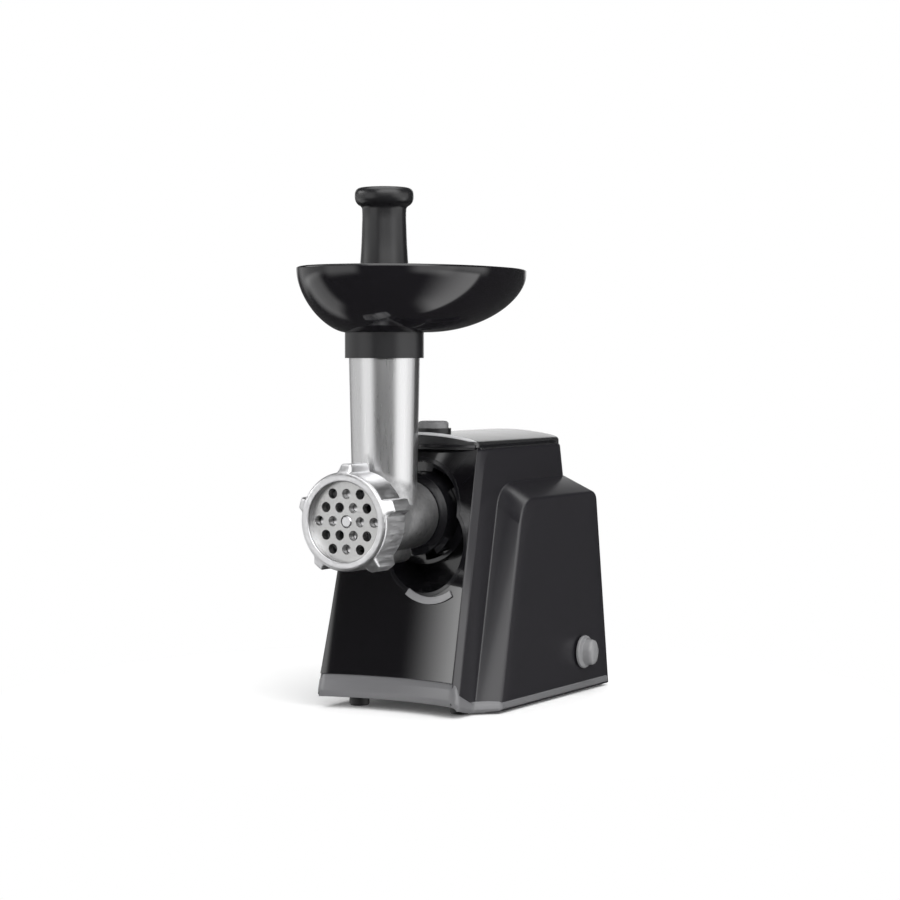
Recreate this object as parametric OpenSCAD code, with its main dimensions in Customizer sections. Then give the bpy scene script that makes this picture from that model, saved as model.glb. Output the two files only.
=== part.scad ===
// Electric meat grinder: motor housing with a bayonet-mounted grinding head.
// The machine is laid out with x = 0 on the barrel's axis, y = 0 on the hole
// plate's front face (the back is +Y) and z = 0 on the worktop. The last
// lines move it so that the origin is under the middle of its box.

/* [Grinding head] */
// Height of the barrel's axis above the worktop
axis_z = 124.5; // [123:0.5:128]
// Diameter of the hole plate
plate_d = 53; // [52.6:0.1:53.4]
// Thickness of the hole plate
plate_t = 5; // [4:0.5:5.5]
// Diameter of each hole in the plate
plate_hole_d = 6.3; // [5:0.1:7]
// Distance between neighbouring holes
plate_pitch = 9.9; // [9.4:0.1:10.2]
// Diameter of the journal hole in the plate's middle
journal_d = 8; // [7:0.1:8.4]
// Outer diameter of the barrel's neck behind the plate
neck_d = 57; // [56.6:0.1:57.4]
// Outer diameter of the ring nut
ring_d = 61.6; // [61:0.1:64]
// Diameter of the ring nut's mouth
ring_mouth_d = 50; // [48:0.5:51]
// Length of the ring nut
ring_len = 24; // [20:0.5:26]
// How far the ring nut stands out in front of the plate
ring_front = 4.7; // [4.6:0.1:6]
// Radius to which the ring nut's lugs reach
ring_lug_r = 36; // [34:0.5:38]
// Width of each lug
ring_lug_w = 11; // [8:0.5:13]
// Number of lugs
ring_lugs = 5; // [3:1:6]
// Outer diameter of the barrel
barrel_d = 44; // [43:0.5:46]
// Where the cast barrel ends
barrel_end = 78.7; // [77:0.1:80]
// Bore of the barrel round the feed screw
barrel_bore_d = 36.8; // [36.4:0.1:38]
// Bore of the chamber in which the cutter turns
chamber_d = 48; // [46.5:0.5:49]
// Distance from the plate's face to the feed tube's axis
tube_y = 45.7; // [44:0.1:47]
// Outer diameter of the feed tube at its mouth
tube_top_d = 45.7; // [45:0.1:47]
// Outer diameter of the feed tube where it meets the barrel
tube_foot_d = 41.1; // [40.5:0.1:43]
// Bore of the feed tube
tube_bore_d = 36; // [34:0.5:37]
// Height of the feed tube's mouth above the barrel's axis
tube_h = 115; // [112:0.5:118]

/* [Cutting parts] */
// Diameter over the feed screw's flight
screw_d = 35.6; // [34.5:0.1:36]
// Diameter of the feed screw's core
screw_core_d = 17; // [14:0.5:20]
// Turns of the flight
screw_turns = 2.75; // [2:0.25:3.5]
// Diameter of the circle that the cutter's blades reach
cutter_d = 45; // [42:0.5:46]
// Thickness of the cutter
cutter_t = 6; // [5:0.5:7]
// Width of the square that drives the cutter
square_w = 9; // [8:0.1:10]
// Distance across the flats of the hexagon that drives the screw
hex_w = 9; // [8:0.1:10]

/* [Hopper tray and pusher] */
// Length of the tray, from front to back
tray_l = 186; // [176:1:190]
// Width of the tray
tray_w = 130; // [120:1:136]
// Depth of the tray's bowl
tray_depth = 41.5; // [36:0.5:46]
// How far the tray's middle lies behind the feed tube
tray_offset = 37; // [32:0.5:40]
// Thickness of the tray's wall
tray_wall = 2.4; // [1.8:0.1:3]
// Diameter of the tray's collar
collar_d = 50; // [49.6:0.1:52]
// Height of the tray's collar
collar_h = 16.2; // [12:0.1:18]
// Diameter of the pusher's ram
ram_d = 35; // [34:0.1:35.6]
// Diameter of the pusher's handle at its waist
waist_d = 27.8; // [26:0.1:30]
// Diameter of the pusher's knob
knob_d = 37.2; // [35:0.1:40]
// Height of the pusher's knob
knob_h = 15; // [12:0.5:18]
// Height of the pusher's top above the tray's rim
pusher_rise = 50.1; // [46:0.1:55]

/* [Housing] */
// Half width of the front panel at its foot
panel_foot = 48.8; // [47.8:0.1:49.8]
// Half width of the front panel at its top
panel_top = 44.4; // [43.6:0.1:44.8]
// Setback of the front panel behind the plate's face, at the barrel's axis
panel_setback = 74.3; // [73.4:0.1:75.2]
// Lean of the front panel
front_lean = 15.4; // [15:0.1:15.8]
// Radius of the front panel's hollow
panel_r = 170; // [165:1:180]
// Depth of the front panel's hollow at its middle
panel_sag = 7.2; // [6.8:0.1:7.6]
// Distance from the barrel's axis to the right side, at the foot
right_x = 55; // [54.5:0.1:56]
// Lean of the right side
right_lean = 3.3; // [3:0.1:3.4]
// Lean of the left side
left_lean = 1.15; // [1:0.05:1.3]
// Depth of the housing's back, at the foot
rear_y = 227.7; // [227:0.1:229]
// Lean of the housing's back
rear_lean = 8.2; // [7.8:0.1:8.4]
// Thickness of the housing's walls
wall = 2.5; // [2.2:0.1:2.8]
// Height of the shells' top edge above the barrel's axis
shell_rise = 43.5; // [42.5:0.1:44.5]
// Height of the silver line under the cap
line_h = 1.6; // [1.2:0.1:2]
// Height of the cap's crown above the shells' top edge
crown_rise = 8.5; // [8:0.1:9.5]
// Radius of the cap's dome
dome_r = 195; // [180:1:220]
// Radius of the cap's front edge
brow_r = 6; // [4:0.5:8]

/* [Motor bulge] */
// Distance from the barrel's axis to the bulge's front edge, at the foot
bulge_front_x = 68; // [67.5:0.1:69]
// Distance from the barrel's axis to the bulge's back edge, at the foot
bulge_rear_x = 71; // [70.5:0.1:72]
// Depth of the bulge's front edge at the foot
bulge_y = 74.7; // [74:0.1:76]
// Lean of the bulge's front edge
bulge_lean = 13; // [12.5:0.1:13.5]
// Height of the bulge's outer top edge
bulge_h = 134.5; // [133:0.5:136]
// Rise of the bulge's top towards the housing
bulge_rise = 11; // [9:0.5:13]
// Radius of the bulge's upper front corner
bulge_r = 12; // [9:0.5:14]
// Lean of the bulge's side
bulge_side_lean = 1; // [0.8:0.1:1.3]

/* [Base] */
// Height of the base band's lower edge at the sides
band_low = 1.5; // [1.2:0.1:2]
// Height of the base band's upper edge at the sides
band_top = 8.5; // [8:0.1:9]
// Height of the base band's lower edge at the front
band_front_low = 7.3; // [7.2:0.1:7.4]
// Height of the base band's upper edge at the front
band_front_top = 21.7; // [21:0.1:22.5]
// Thickness of the base band
band_t = 4; // [3.6:0.1:4.4]
// How far the band stands out from the shells
band_proud = 0.4; // [0.3:0.05:0.6]
// Diameter of the feet
foot_d = 13; // [11:0.5:15]
// Thickness of the base plate
base_t = 2.5; // [2:0.1:2.8]

/* [Drive] */
// Module of the output pair's teeth
module_out = 1.1; // [1.05:0.05:1.15]
// Teeth of the output gear
teeth_out = 52; // [50:1:54]
// Teeth of the pinion that drives it
teeth_pinion_out = 13; // [12:1:14]
// Module of the middle pair's teeth
module_mid = 1; // [0.95:0.05:1.05]
// Teeth of the middle gear
teeth_mid = 48; // [46:1:50]
// Teeth of the middle pinion
teeth_pinion_mid = 12; // [11:1:13]
// Module of the motor pair's teeth
module_in = 0.8; // [0.78:0.01:0.84]
// Teeth of the first gear
teeth_in = 58; // [56:1:60]
// Teeth of the motor's pinion
teeth_pinion_in = 11; // [10:1:12]
// Distance of the motor's axis from the barrel's axis, across
motor_x = 24; // [23:0.5:25]
// Height of the barrel's axis above the motor's axis
motor_drop = 62.5; // [61.5:0.5:63.5]
// Width of the stator's stack
stator_w = 56; // [54:0.5:57]
// Height of the stator's stack
stator_h = 50; // [48:0.5:51]
// Length of the stator's stack
stator_len = 28; // [26:0.5:29]
// Diameter of the armature's core
core_d = 35; // [33:0.1:35.4]
// Diameter of the armature's shaft
shaft_d = 8; // [7:0.1:8.2]
// Diameter of the gears' fixed axles
axle_d = 8; // [6:0.1:8.4]
// Diameter of the output hub
hub_d = 21; // [20:0.1:22]

/* [Controls] */
// Diameter of the release button
button_d = 20; // [19:0.1:21]
// Travel of the release button
button_travel = 2.5; // [2:0.1:2.5]
// Depth of the release button's middle
button_y = 108; // [107.6:0.1:108.4]
// Diameter of the selector's flange
selector_d = 22; // [20:0.5:24]
// Diameter of the selector's grip
grip_d = 15.5; // [14:0.5:17]
// How far the selector stands out of the bulge
selector_h = 10.5; // [9:0.5:12]
// Depth of the selector's middle
selector_y = 188; // [184:1:190]
// Height of the selector's middle
selector_z = 27.5; // [27:0.5:29]
// Diameter of the cord's hole in its grommet
cord_d = 7; // [6.5:0.1:7.6]

/* [Fits] */
// Gap round parts that lift off or screw on
loose_gap = 0.3; // [0.25:0.05:0.4]
// Gap round parts that turn in a bearing
running_gap = 0.05; // [0.03:0.01:0.08]
// Gap at the end faces of parts that turn
end_gap = 0.4; // [0.3:0.05:0.5]

/* [Hidden] */
$fn = 96;
fine = 0.01;       // thickness of the slices from which a hull is drawn
reach = 400;       // length of a cutting body that runs right through
edge_r = 1.5;      // rounding of edges that a hand touches

// --- grinding head ---
plate_r = plate_d / 2;
neck_r = neck_d / 2;
fin_h = 13;
ring_r = ring_d / 2;
barrel_r = barrel_d / 2;
bore_r = barrel_bore_d / 2;
chamber_len = cutter_t + 3;
chamber_end = plate_t + chamber_len;
neck_end = ring_len - ring_front;
tube_z = axis_z + tube_h;
bush_y0 = barrel_end - 5;
bush_r = 8;
bush_t = 2.5;
bush_flange = 1.5;
screw_y0 = chamber_end + end_gap;
screw_y1 = bush_y0 - bush_flange - end_gap;

// --- bayonet, from the barrel's end to the gearbox ---
bayonet_r = 27;
bayonet_end = 101;
bayonet_bore_r = 13;
hook_r = 30.2;
hook_y = 97.5;
hook_angle = 16;
hooks = [90, 210, 330];
unlock_angle = 35;
receiver_y = 93;
receiver_r = 33.5;
receiver_bore_r = hook_r + 0.6;
receiver_flange = 4;
cup_floor = 105;
cup_t = 3;
cup_r = receiver_r + 0.5;
cup_wall = 2.5;
pocket_x = 15;
pocket_z = -21;
pocket_r = 28.2;
index_angle = -42;
index_r = 31;
trim_w = 4.5;
trim_angle = 38;
trim_from = -98;
trim_proud = 1.2;

// --- tray and pusher ---
tray_floor = tube_z + 2.1;
tray_rim = tray_floor + tray_depth;
tray_mid_y = tube_y + tray_offset;
rings = 14;
ring_points = 48;
ram_end = axis_z + screw_d / 2 + 3;
pusher_z = tray_rim + pusher_rise;
waist_z = pusher_z - knob_h;

// --- housing ---
shell_top = axis_z + shell_rise;
crown_z = shell_top + crown_rise;
rear_r = 10;
front_r = 2;
brow_steps = [20, 40, 60, 80];
front_y = panel_setback - (axis_z - band_front_top) * tan(front_lean);
seam_y = front_y + 26;
function front_at(z) = front_y + (z - band_front_top) * tan(front_lean);
function rear_at(z) = rear_y - (z - band_low) * tan(rear_lean);
function right_at(z) = right_x - (z - band_low) * tan(right_lean);
function left_at(z) = -panel_foot + (z - band_front_top) * tan(left_lean);
function bulge_front_at(z) = bulge_y + (z - band_low) * tan(bulge_lean);
function bulge_x_at(z, y) = bulge_front_x - (z - band_low) * tan(bulge_side_lean)
    + (bulge_rear_x - bulge_front_x) * (y - bulge_y) / (rear_y - bulge_y);
brow_z = shell_top + line_h + 0.4;
panel_t = 2.5;
band_step = 15;
base_z = band_front_low + 0.2;

// --- button and latch ---
bezel_r = button_d / 2 + 2;
bezel_top = crown_z + 3;
bezel_floor = shell_top + 1;
bezel_floor_t = 2;
button_top = crown_z + 8;
button_low = bezel_floor + bezel_floor_t + button_travel + 2.6;
stem_r = 2.5;
latch_y = 102;
latch_z = bezel_floor - 3.5;
latch_angle = button_travel / (button_y - latch_y) * 180 / PI;
latch_t = 3;
latch_w = 8;
latch_pad = 0.8;
lug_t = 2.4;         // the lugs that carry the latch's pin
lug_low = 3.1;
stem_low = latch_z + latch_t / 2 + latch_pad + end_gap;
tooth_y = latch_y - 2.7;
tooth_t = 2.2;
tooth_low = axis_z + hook_r + end_gap + 0.1;
pivot_r = 1.25;
spring_r = 5.5;
spring_wire = 0.9;
spring_turns = 4;

// --- gear train ---
case_y = cup_floor + cup_t;
case_t = 3.5;
case_wall = 3;
gear_out_y = case_y + case_t + 1.5;
gear_out_w = 11;
gear_mid_y = gear_out_y + gear_out_w + 1.5;
gear_mid_w = 5.5;
gear_in_y = gear_mid_y + gear_mid_w + 1.5;
gear_in_w = 4.5;
cover_y = gear_in_y + gear_in_w + 2;
cover_t = 3.5;
mesh_gap = 0.12;
centre_out = module_out * (teeth_out + teeth_pinion_out) / 2 + mesh_gap;
centre_mid = module_mid * (teeth_mid + teeth_pinion_mid) / 2 + mesh_gap;
centre_in = module_in * (teeth_in + teeth_pinion_in) / 2 + mesh_gap;
out_angle = -110;
out_axis = [0, axis_z];
mid_axis = out_axis + centre_out * [cos(out_angle), sin(out_angle)];
motor_z = axis_z - motor_drop;
motor_axis = [motor_x, motor_z];
// The first gear's axis is where the circles of the two centre distances cross.
span = norm(motor_axis - mid_axis);
along = (centre_mid ^ 2 - centre_in ^ 2 + span ^ 2) / (2 * span);
aside = sqrt(centre_mid ^ 2 - along ^ 2);
unit = (motor_axis - mid_axis) / span;
in_axis = mid_axis + along * unit + aside * [unit[1], -unit[0]];
mid_angle = atan2(in_axis[1] - mid_axis[1], in_axis[0] - mid_axis[0]);
in_angle = atan2(motor_axis[1] - in_axis[1], motor_axis[0] - in_axis[0]);
case_out_r = module_out * (teeth_out / 2 + 1) + 1.2 + case_wall;
case_mid_r = module_mid * (teeth_mid / 2 + 1) + 1.2 + case_wall;
case_in_r = module_in * (teeth_in / 2 + 1) + 1.2 + case_wall;
case_motor_r = 12;
sleeve_r = axle_d / 2 + 1.6;
out_shaft_r = 6;
out_bush_r = 9;

// --- motor, from the gearbox cover to the back ---
bearing_w = 7;
bearing_r = 11;
boss_r = bearing_r + 2;
fan_y = cover_y + bearing_w + 0.5;
fan_w = 6;
fan_r = 24;
coil_len = 6;
stator_y = fan_y + fan_w + coil_len + 1;
stator_end = stator_y + stator_len;
commutator_y = stator_end + coil_len + 0.5;
commutator_len = 8;
commutator_r = 10;
bracket_y = commutator_y + commutator_len + 3.5;
bracket_t = 3;
journal_r = 2.5;
pinion_seat_r = 2.4;
rear_bearing_r = 8;
air_gap = 0.6;
bolt_r = 2;
bolt_x = 22;
bolt_z = 19;
brush_w = 6;
holder_w = 9;

// --- switch, cord and screws ---
switch_x = bulge_x_at(selector_z, selector_y);
switch_w = 20;
selector_gap = 0.9;
switch_depth = 11;
switch_face = switch_x - wall - 0.4 - switch_depth;
grommet_x = -24;
grommet_z = 30;
grommet_r = 7;
post_r = 4.5;
post_h = 12;
screw_r = 1.6;
screw_head_r = 3.2;
screw_head_h = 3;
screw_pitch_r = 17;
screw_sunk = 6;
screw_grip = 6;
posts = [[-40, 84], [-38, 188], [32, 60], [58, 160]];
lead_r = 1.1;
suppressor_at = [-38, 150];
suppressor_size = [12, 22, 16];
feet_at = [[-31.4, 66], [43.4, 66], [-31.4, 206], [50, 206]];

// --- place of the whole on its origin ---
x_low = -tray_w / 2;
x_high = switch_x + selector_h;
y_low = tray_mid_y - tray_l / 2;
y_high = rear_at(band_low) + band_proud;
x_mid = (x_low + x_high) / 2;
y_mid = (y_low + y_high) / 2;

// ---------------------------------------------------------------- helpers

// A flat shape, drawn with x across and y upwards, made solid from y0 to y1.
module slab(y0, y1) {
    translate([0, y1, 0]) rotate([90, 0, 0]) linear_extrude(y1 - y0) children();
}

// A round bar along Y whose middle is at [x, z].
module bar(at, y0, y1, r) {
    slab(y0, y1) translate(at) circle(r);
}

// A round tube along Y.
module pipe(at, y0, y1, r, bore) {
    slab(y0, y1) translate(at) difference() {
        circle(r);
        circle(bore);
    }
}

// A sector of a ring, centred on the given angle.
module sector(r, bore, middle, half) {
    intersection() {
        difference() {
            circle(r);
            circle(bore);
        }
        rotate(middle) polygon([[0, 0], for (a = [-1, 0, 1]) 2 * r * [cos(a * half), sin(a * half)]]);
    }
}

// A body of revolution about the barrel's axis, from points [y, radius].
module turned(points) {
    translate([0, 0, axis_z]) rotate([-90, 0, 0]) rotate_extrude()
        polygon([for (p = points) [p[1], p[0]]]);
}

// The outline of a spur gear with straight-sided teeth, one of them at the given angle.
module gear_outline(teeth, size, turn) {
    root = size * (teeth / 2 - 1.15);
    tip = size * (teeth / 2 + 0.9);
    step = 360 / teeth;
    polygon([for (i = [0 : teeth - 1], p = [[-0.31, root], [-0.1, tip], [0.1, tip], [0.31, root]])
        p[1] * [cos(turn + (i + p[0]) * step), sin(turn + (i + p[0]) * step)]]);
}

module gear(at, y0, width, teeth, size, turn, bore) {
    slab(y0, y0 + width) translate(at) difference() {
        gear_outline(teeth, size, turn);
        circle(bore);
    }
}

// The tray's outline at a share of its depth: half length, half width and middle.
function bowl_spread(depth) = pow(max(0, 1 - pow(depth, 1.6)), 0.55);
function bowl_shift(depth) = pow(max(0, 1 - pow(depth, 1.9)), 0.42);
function bowl_point(depth, turn, inset) =
    let (foot = collar_d / 2, s = bowl_spread(depth))
    [
        (foot + (tray_w / 2 - foot) * s - inset) * cos(turn),
        tube_y + tray_offset * bowl_shift(depth) + (foot + (tray_l / 2 - foot) * s - inset) * sin(turn)
    ];

// A tube swept along points; each ring lies across the path.
module sweep(path, r, sides) {
    last = len(path) - 1;
    points = [
        for (i = [0 : last])
            let (
                ahead = path[min(i + 1, last)] - path[max(i - 1, 0)],
                d = ahead / norm(ahead),
                side = cross(d, [0, 0, 1]) / norm(cross(d, [0, 0, 1])),
                up = cross(side, d)
            )
            for (k = [0 : sides - 1])
                path[i] + r * (cos(360 * k / sides) * side + sin(360 * k / sides) * up)
    ];
    walls = [
        for (i = [0 : last - 1], k = [0 : sides - 1])
            let (n = (k + 1) % sides)
            [i * sides + k, (i + 1) * sides + k, (i + 1) * sides + n, i * sides + n]
    ];
    ends = [
        [for (k = [0 : sides - 1]) k],
        [for (k = [0 : sides - 1]) last * sides + sides - 1 - k]
    ];
    polyhedron(points, concat(walls, ends));
}

// The housing's outer form without its bulge, drawn inwards by inset.
module envelope(inset) {
    hull() {
        for (z = [band_low, brow_z]) envelope_slice(z, z, 0, inset);
        for (a = brow_steps)
            envelope_slice(brow_z + brow_r * sin(a), brow_z, brow_r * (1 - cos(a)), inset);
        envelope_slice(crown_z + wall, brow_z, brow_r, inset);
    }
}

// One level of it: z is the level, and side is the level from which the sides are taken.
module envelope_slice(z, side, back, inset) {
    front = front_at(side) + back + inset;
    for (c = [
        [left_at(z) + inset, front, front_r, 1, 1],
        [right_at(z) - inset, front, front_r, -1, 1],
        [left_at(z) + inset, rear_at(z) - inset, rear_r, 1, -1],
        [right_at(z) - inset, rear_at(z) - inset, rear_r, -1, -1]
    ]) {
        r = max(0.6, c[2] - inset);
        translate([c[0] + c[3] * r, c[1] + c[4] * r, z]) cylinder(r = r, h = fine, $fn = 24);
    }
}

// The motor bulge's form, drawn inwards by inset.
module bulge(inset) {
    inner_x = right_at(bulge_h) - 8;
    high = bulge_h + bulge_rise;
    back_r = max(0.6, 4 - inset);
    hull() {
        for (y = [bulge_y, rear_y]) {
            lean_y = y == bulge_y ? bulge_y + inset + front_r : rear_at(band_low) - inset - rear_r / 2;
            translate([bulge_x_at(band_low, y) - inset - front_r, lean_y, band_low])
                cylinder(r = front_r, h = fine, $fn = 24);
        }
        for (z = [band_low, bulge_h - bulge_r])
            translate([right_at(z) + 1 - inset, bulge_front_at(z) - 11 + inset, z])
                cylinder(r = 1, h = fine, $fn = 24);
        // upper front corner, rounded, from the housing out to the side
        for (e = [[inner_x, high, -8], [bulge_x_at(bulge_h, bulge_y) - front_r, bulge_h, 0]])
            translate([e[0] - inset, bulge_front_at(e[1]) + e[2] + bulge_r, e[1] - bulge_r])
                rotate([0, 90, 0]) cylinder(r = bulge_r - inset, h = front_r, $fn = 48);
        // upper back corner
        for (e = [[inner_x, high], [bulge_x_at(bulge_h, rear_y) - front_r, bulge_h]])
            translate([e[0] - inset, rear_at(e[1]) - inset - back_r, e[1] - inset - back_r])
                rotate([0, 90, 0]) cylinder(r = back_r, h = front_r, $fn = 24);
        translate([0, rear_at(band_low) - inset - rear_r, band_low]) cylinder(r = rear_r / 2, h = fine);
    }
}

// What lies behind the front panel's front face, or a distance behind that.
module behind_panel(depth) {
    difference() {
        translate([-reach / 2, 0, -reach / 2]) cube([reach, reach, 2 * reach]);
        panel_frame() translate([0, panel_sag - panel_r, -reach])
            cylinder(r = panel_r + depth, h = 2 * reach, $fn = 360);
    }
}

// The front panel's own frame: its foot's middle, leaning back.
module panel_frame() {
    translate([0, front_y, band_front_top]) rotate([-front_lean, 0, 0]) children();
}

// The outline of the front panel, drawn with x across and y upwards.
module panel_outline(inset) {
    polygon([
        [-panel_foot + inset, band_front_top], [panel_foot - inset, band_front_top],
        [panel_top - inset, shell_top], [-panel_top + inset, shell_top]
    ]);
}

// The outline of the socket: round the barrel, with a pocket to the lower right.
module socket_outline(grow) {
    translate([0, axis_z]) {
        circle(cup_r + grow);
        translate([pocket_x, pocket_z]) circle(pocket_r + grow);
    }
}

// The outline of the gearbox, drawn inwards by inset.
module gearbox_outline(inset) {
    translate(out_axis) circle(case_out_r - inset);
    translate(mid_axis) circle(case_mid_r - inset);
    translate(in_axis) circle(case_in_r - inset);
    translate(motor_axis) circle(case_motor_r - inset);
}

// The base band's levels: high along the front, and stepping down to the sides.
module band_levels() {
    translate([1 - panel_foot, 0, band_front_low]) cube([
        2 * panel_foot - 2, front_y + panel_sag + panel_t / 2, band_front_top - band_front_low
    ]);
    rotate([90, 0, 90]) translate([0, 0, -reach / 2]) linear_extrude(reach) polygon([
        [0, band_front_low], [front_y, band_front_low], [front_y + band_step, band_low],
        [reach, band_low], [reach, band_top], [front_y + band_step, band_top],
        [front_y, band_front_top], [0, band_front_top]
    ]);
}

// Everything above the base band and below the trim line.
module above_band() {
    rotate([90, 0, 90]) translate([0, 0, -reach / 2]) linear_extrude(reach) polygon([
        [0, band_front_top], [front_y, band_front_top], [front_y + band_step, band_top],
        [reach, band_top], [reach, shell_top], [0, shell_top]
    ]);
}

// ---------------------------------------------------------------- grinding head

module pusher() {
    color("#1c1c1e") translate([0, tube_y, 0]) rotate_extrude() {
        polygon([
            [0, ram_end], [ram_d / 2 - edge_r, ram_end], [ram_d / 2, ram_end + edge_r],
            [ram_d / 2, tray_floor + 6], [waist_d / 2 + 1.8, tray_rim - 4],
            [waist_d / 2 + 0.7, tray_rim + 12], [waist_d / 2, waist_z - 8],
            [waist_d / 2 + 0.3, waist_z - 4], [waist_d / 2 + 2.5, waist_z], [0, waist_z]
        ]);
        difference() {
            translate([0, waist_z + knob_h / 2]) {
                translate([knob_d / 2 - knob_h / 2, 0]) circle(knob_h / 2);
                translate([0, -knob_h / 2]) square([knob_d / 2 - knob_h / 2, knob_h]);
            }
            translate([-reach, 0]) square([reach, reach]);
        }
    }
}

module hopper_tray() {
    steps = [for (i = [0 : rings]) sin(90 * i / rings)];
    turns = [for (k = [0 : ring_points - 1]) 360 * k / ring_points];
    hole_r = collar_d / 2 - tray_wall;
    // rings of points: down the outside, across the foot to the hole, and up the inside
    loops = concat(
        [for (d = steps) [for (t = turns) concat(bowl_point(d, t, 0), tray_rim - d * tray_depth)]],
        [[for (t = turns) [hole_r * cos(t), tube_y + hole_r * sin(t), tray_floor]]],
        [for (i = [rings : -1 : 0]) [for (t = turns)
            concat(bowl_point(steps[i], t, tray_wall), tray_rim - steps[i] * (tray_depth - tray_wall))]]
    );
    n = ring_points;
    color("#151517") polyhedron(
        [for (loop = loops, p = loop) p],
        [for (i = [0 : len(loops) - 1], k = [0 : n - 1])
            let (j = (i + 1) % len(loops), m = (k + 1) % n) [i * n + k, i * n + m, j * n + m, j * n + k]]
    );
}

module tray_collar() {
    low = tray_floor - collar_h;
    color("#151517") translate([0, tube_y, 0]) difference() {
        union() {
            translate([0, 0, low]) cylinder(d = collar_d, h = collar_h);
            translate([0, 0, low])
                cylinder(r = collar_d / 2 - tray_wall - loose_gap, h = collar_h + tray_wall);
        }
        translate([0, 0, low - 1]) cylinder(r = tube_top_d / 2 + loose_gap, h = tube_z + end_gap - low + 1);
        cylinder(d = tube_bore_d, h = reach);
    }
}

module head_casting() {
    color("#b9bbbe") difference() {
        union() {
            turned([
                [0.5, 0], [0.5, neck_r - 0.6], [1.1, neck_r], [neck_end, neck_r], [neck_end + 1, neck_r - 1],
                [neck_end + 3, barrel_r + 3], [neck_end + 8, barrel_r + 0.8], [neck_end + 14, barrel_r],
                [barrel_end - 3, barrel_r], [barrel_end - 1, barrel_r - 0.9], [barrel_end, barrel_r - 3],
                [barrel_end, 0]
            ]);
            translate([0, tube_y, axis_z])
                cylinder(d1 = tube_foot_d - 0.8, d2 = tube_top_d, h = tube_h);
            // fin in front of the tube's foot
            rotate([90, 0, 90]) translate([0, 0, -1.2]) linear_extrude(2.4) polygon([
                [neck_end - 4, axis_z + neck_r - 3], [tube_y - tube_foot_d / 2 - 6, axis_z + neck_r - 2],
                [tube_y - tube_foot_d / 2 - 1.5, axis_z + neck_r + 4],
                [tube_y - tube_foot_d / 2 - 0.5, axis_z + neck_r + fin_h],
                [tube_y, axis_z + neck_r + fin_h + 3], [tube_y, axis_z]
            ]);
            // nose under the barrel
            bar([0, axis_z - barrel_r - 1], neck_end + 18, neck_end + 48, 7);
        }
        turned([
            [-1, 0], [-1, plate_r + loose_gap], [plate_t + 0.1, plate_r + loose_gap],
            [plate_t + 0.1, chamber_d / 2], [chamber_end - 2, chamber_d / 2], [chamber_end + 2, bore_r],
            [bush_y0, bore_r], [bush_y0, 0]
        ]);
        turned([[0, 0], [0, bush_r + bush_t], [reach, bush_r + bush_t], [reach, 0]]);
        translate([0, tube_y, axis_z]) cylinder(d = tube_bore_d, h = tube_h + 1);
        collar_screw_bars(barrel_end - screw_grip - 1, reach, screw_r);
    }
}

module bayonet_collar() {
    color("#202022") difference() {
        union() {
            pipe([0, axis_z], barrel_end, bayonet_end, bayonet_r, bayonet_bore_r);
            slab(hook_y, bayonet_end) translate([0, axis_z])
                for (a = hooks) sector(hook_r, bayonet_r - 1, a, hook_angle);
            slab(barrel_end + 2, barrel_end + 8) translate([0, axis_z])
                sector(index_r, bayonet_r - 1, index_angle, 12);
        }
        collar_screw_bars(barrel_end - 1, reach, screw_r);
        collar_screw_bars(bayonet_end - screw_sunk, reach, screw_head_r + 0.2);
    }
}

// One bar at each of the collar's three screws.
module collar_screw_bars(y0, y1, r) {
    for (a = hooks) bar([0, axis_z] + screw_pitch_r * [cos(a), sin(a)], y0, y1, r);
}

module collar_screws() {
    color("#9a9ca0") {
        collar_screw_bars(barrel_end - screw_grip, bayonet_end - screw_sunk, screw_r - 0.05);
        collar_screw_bars(bayonet_end - screw_sunk, bayonet_end - screw_sunk + screw_head_h, screw_head_r);
    }
}

module screw_bush() {
    color("#e8e4da") turned([
        [bush_y0 - bush_flange, bush_r + running_gap], [bush_y0 - bush_flange, bore_r - 4],
        [bush_y0, bore_r - 4], [bush_y0, bush_r + bush_t - 0.05], [barrel_end, bush_r + bush_t - 0.05],
        [barrel_end, bush_r + running_gap]
    ]);
}

module hole_plate() {
    row_step = plate_pitch * cos(30);
    color("#c9cbce") slab(0, plate_t) translate([0, axis_z]) difference() {
        circle(plate_r);
        circle(journal_d / 2);
        for (row = [-2 : 2], i = [0 : 4 - abs(row)]) {
            across = (i - (4 - abs(row)) / 2) * plate_pitch;
            if (row != 0 || i != 2) translate([across, row * row_step]) circle(d = plate_hole_d);
        }
    }
}

module ring_nut() {
    front = -ring_front;
    bore = neck_r + loose_gap;
    color("#d2d4d7") {
        turned([
            [front + 1.2, ring_mouth_d / 2], [front, ring_mouth_d / 2 + 1.2], [front, ring_r - 2.6],
            [front + 0.9, ring_r - 1], [front + 2.8, ring_r], [front + ring_len, ring_r],
            [front + ring_len, bore], [0.1, bore], [-0.1, bore], [-0.1, ring_mouth_d / 2]
        ]);
        slab(front + 3, front + ring_len) translate([0, axis_z]) for (i = [0 : ring_lugs - 1])
            rotate(90 + 360 * i / ring_lugs) intersection() {
                circle(ring_lug_r);
                polygon([
                    [ring_r - 1, -ring_lug_w / 2 - 1.5], [ring_lug_r - 1.5, -ring_lug_w / 2],
                    [ring_lug_r + 1, -ring_lug_w / 2 + 2], [ring_lug_r + 1, ring_lug_w / 2 - 2],
                    [ring_lug_r - 1.5, ring_lug_w / 2], [ring_r - 1, ring_lug_w / 2 + 1.5]
                ]);
            }
    }
}

// ---------------------------------------------------------------- cutting parts

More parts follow.
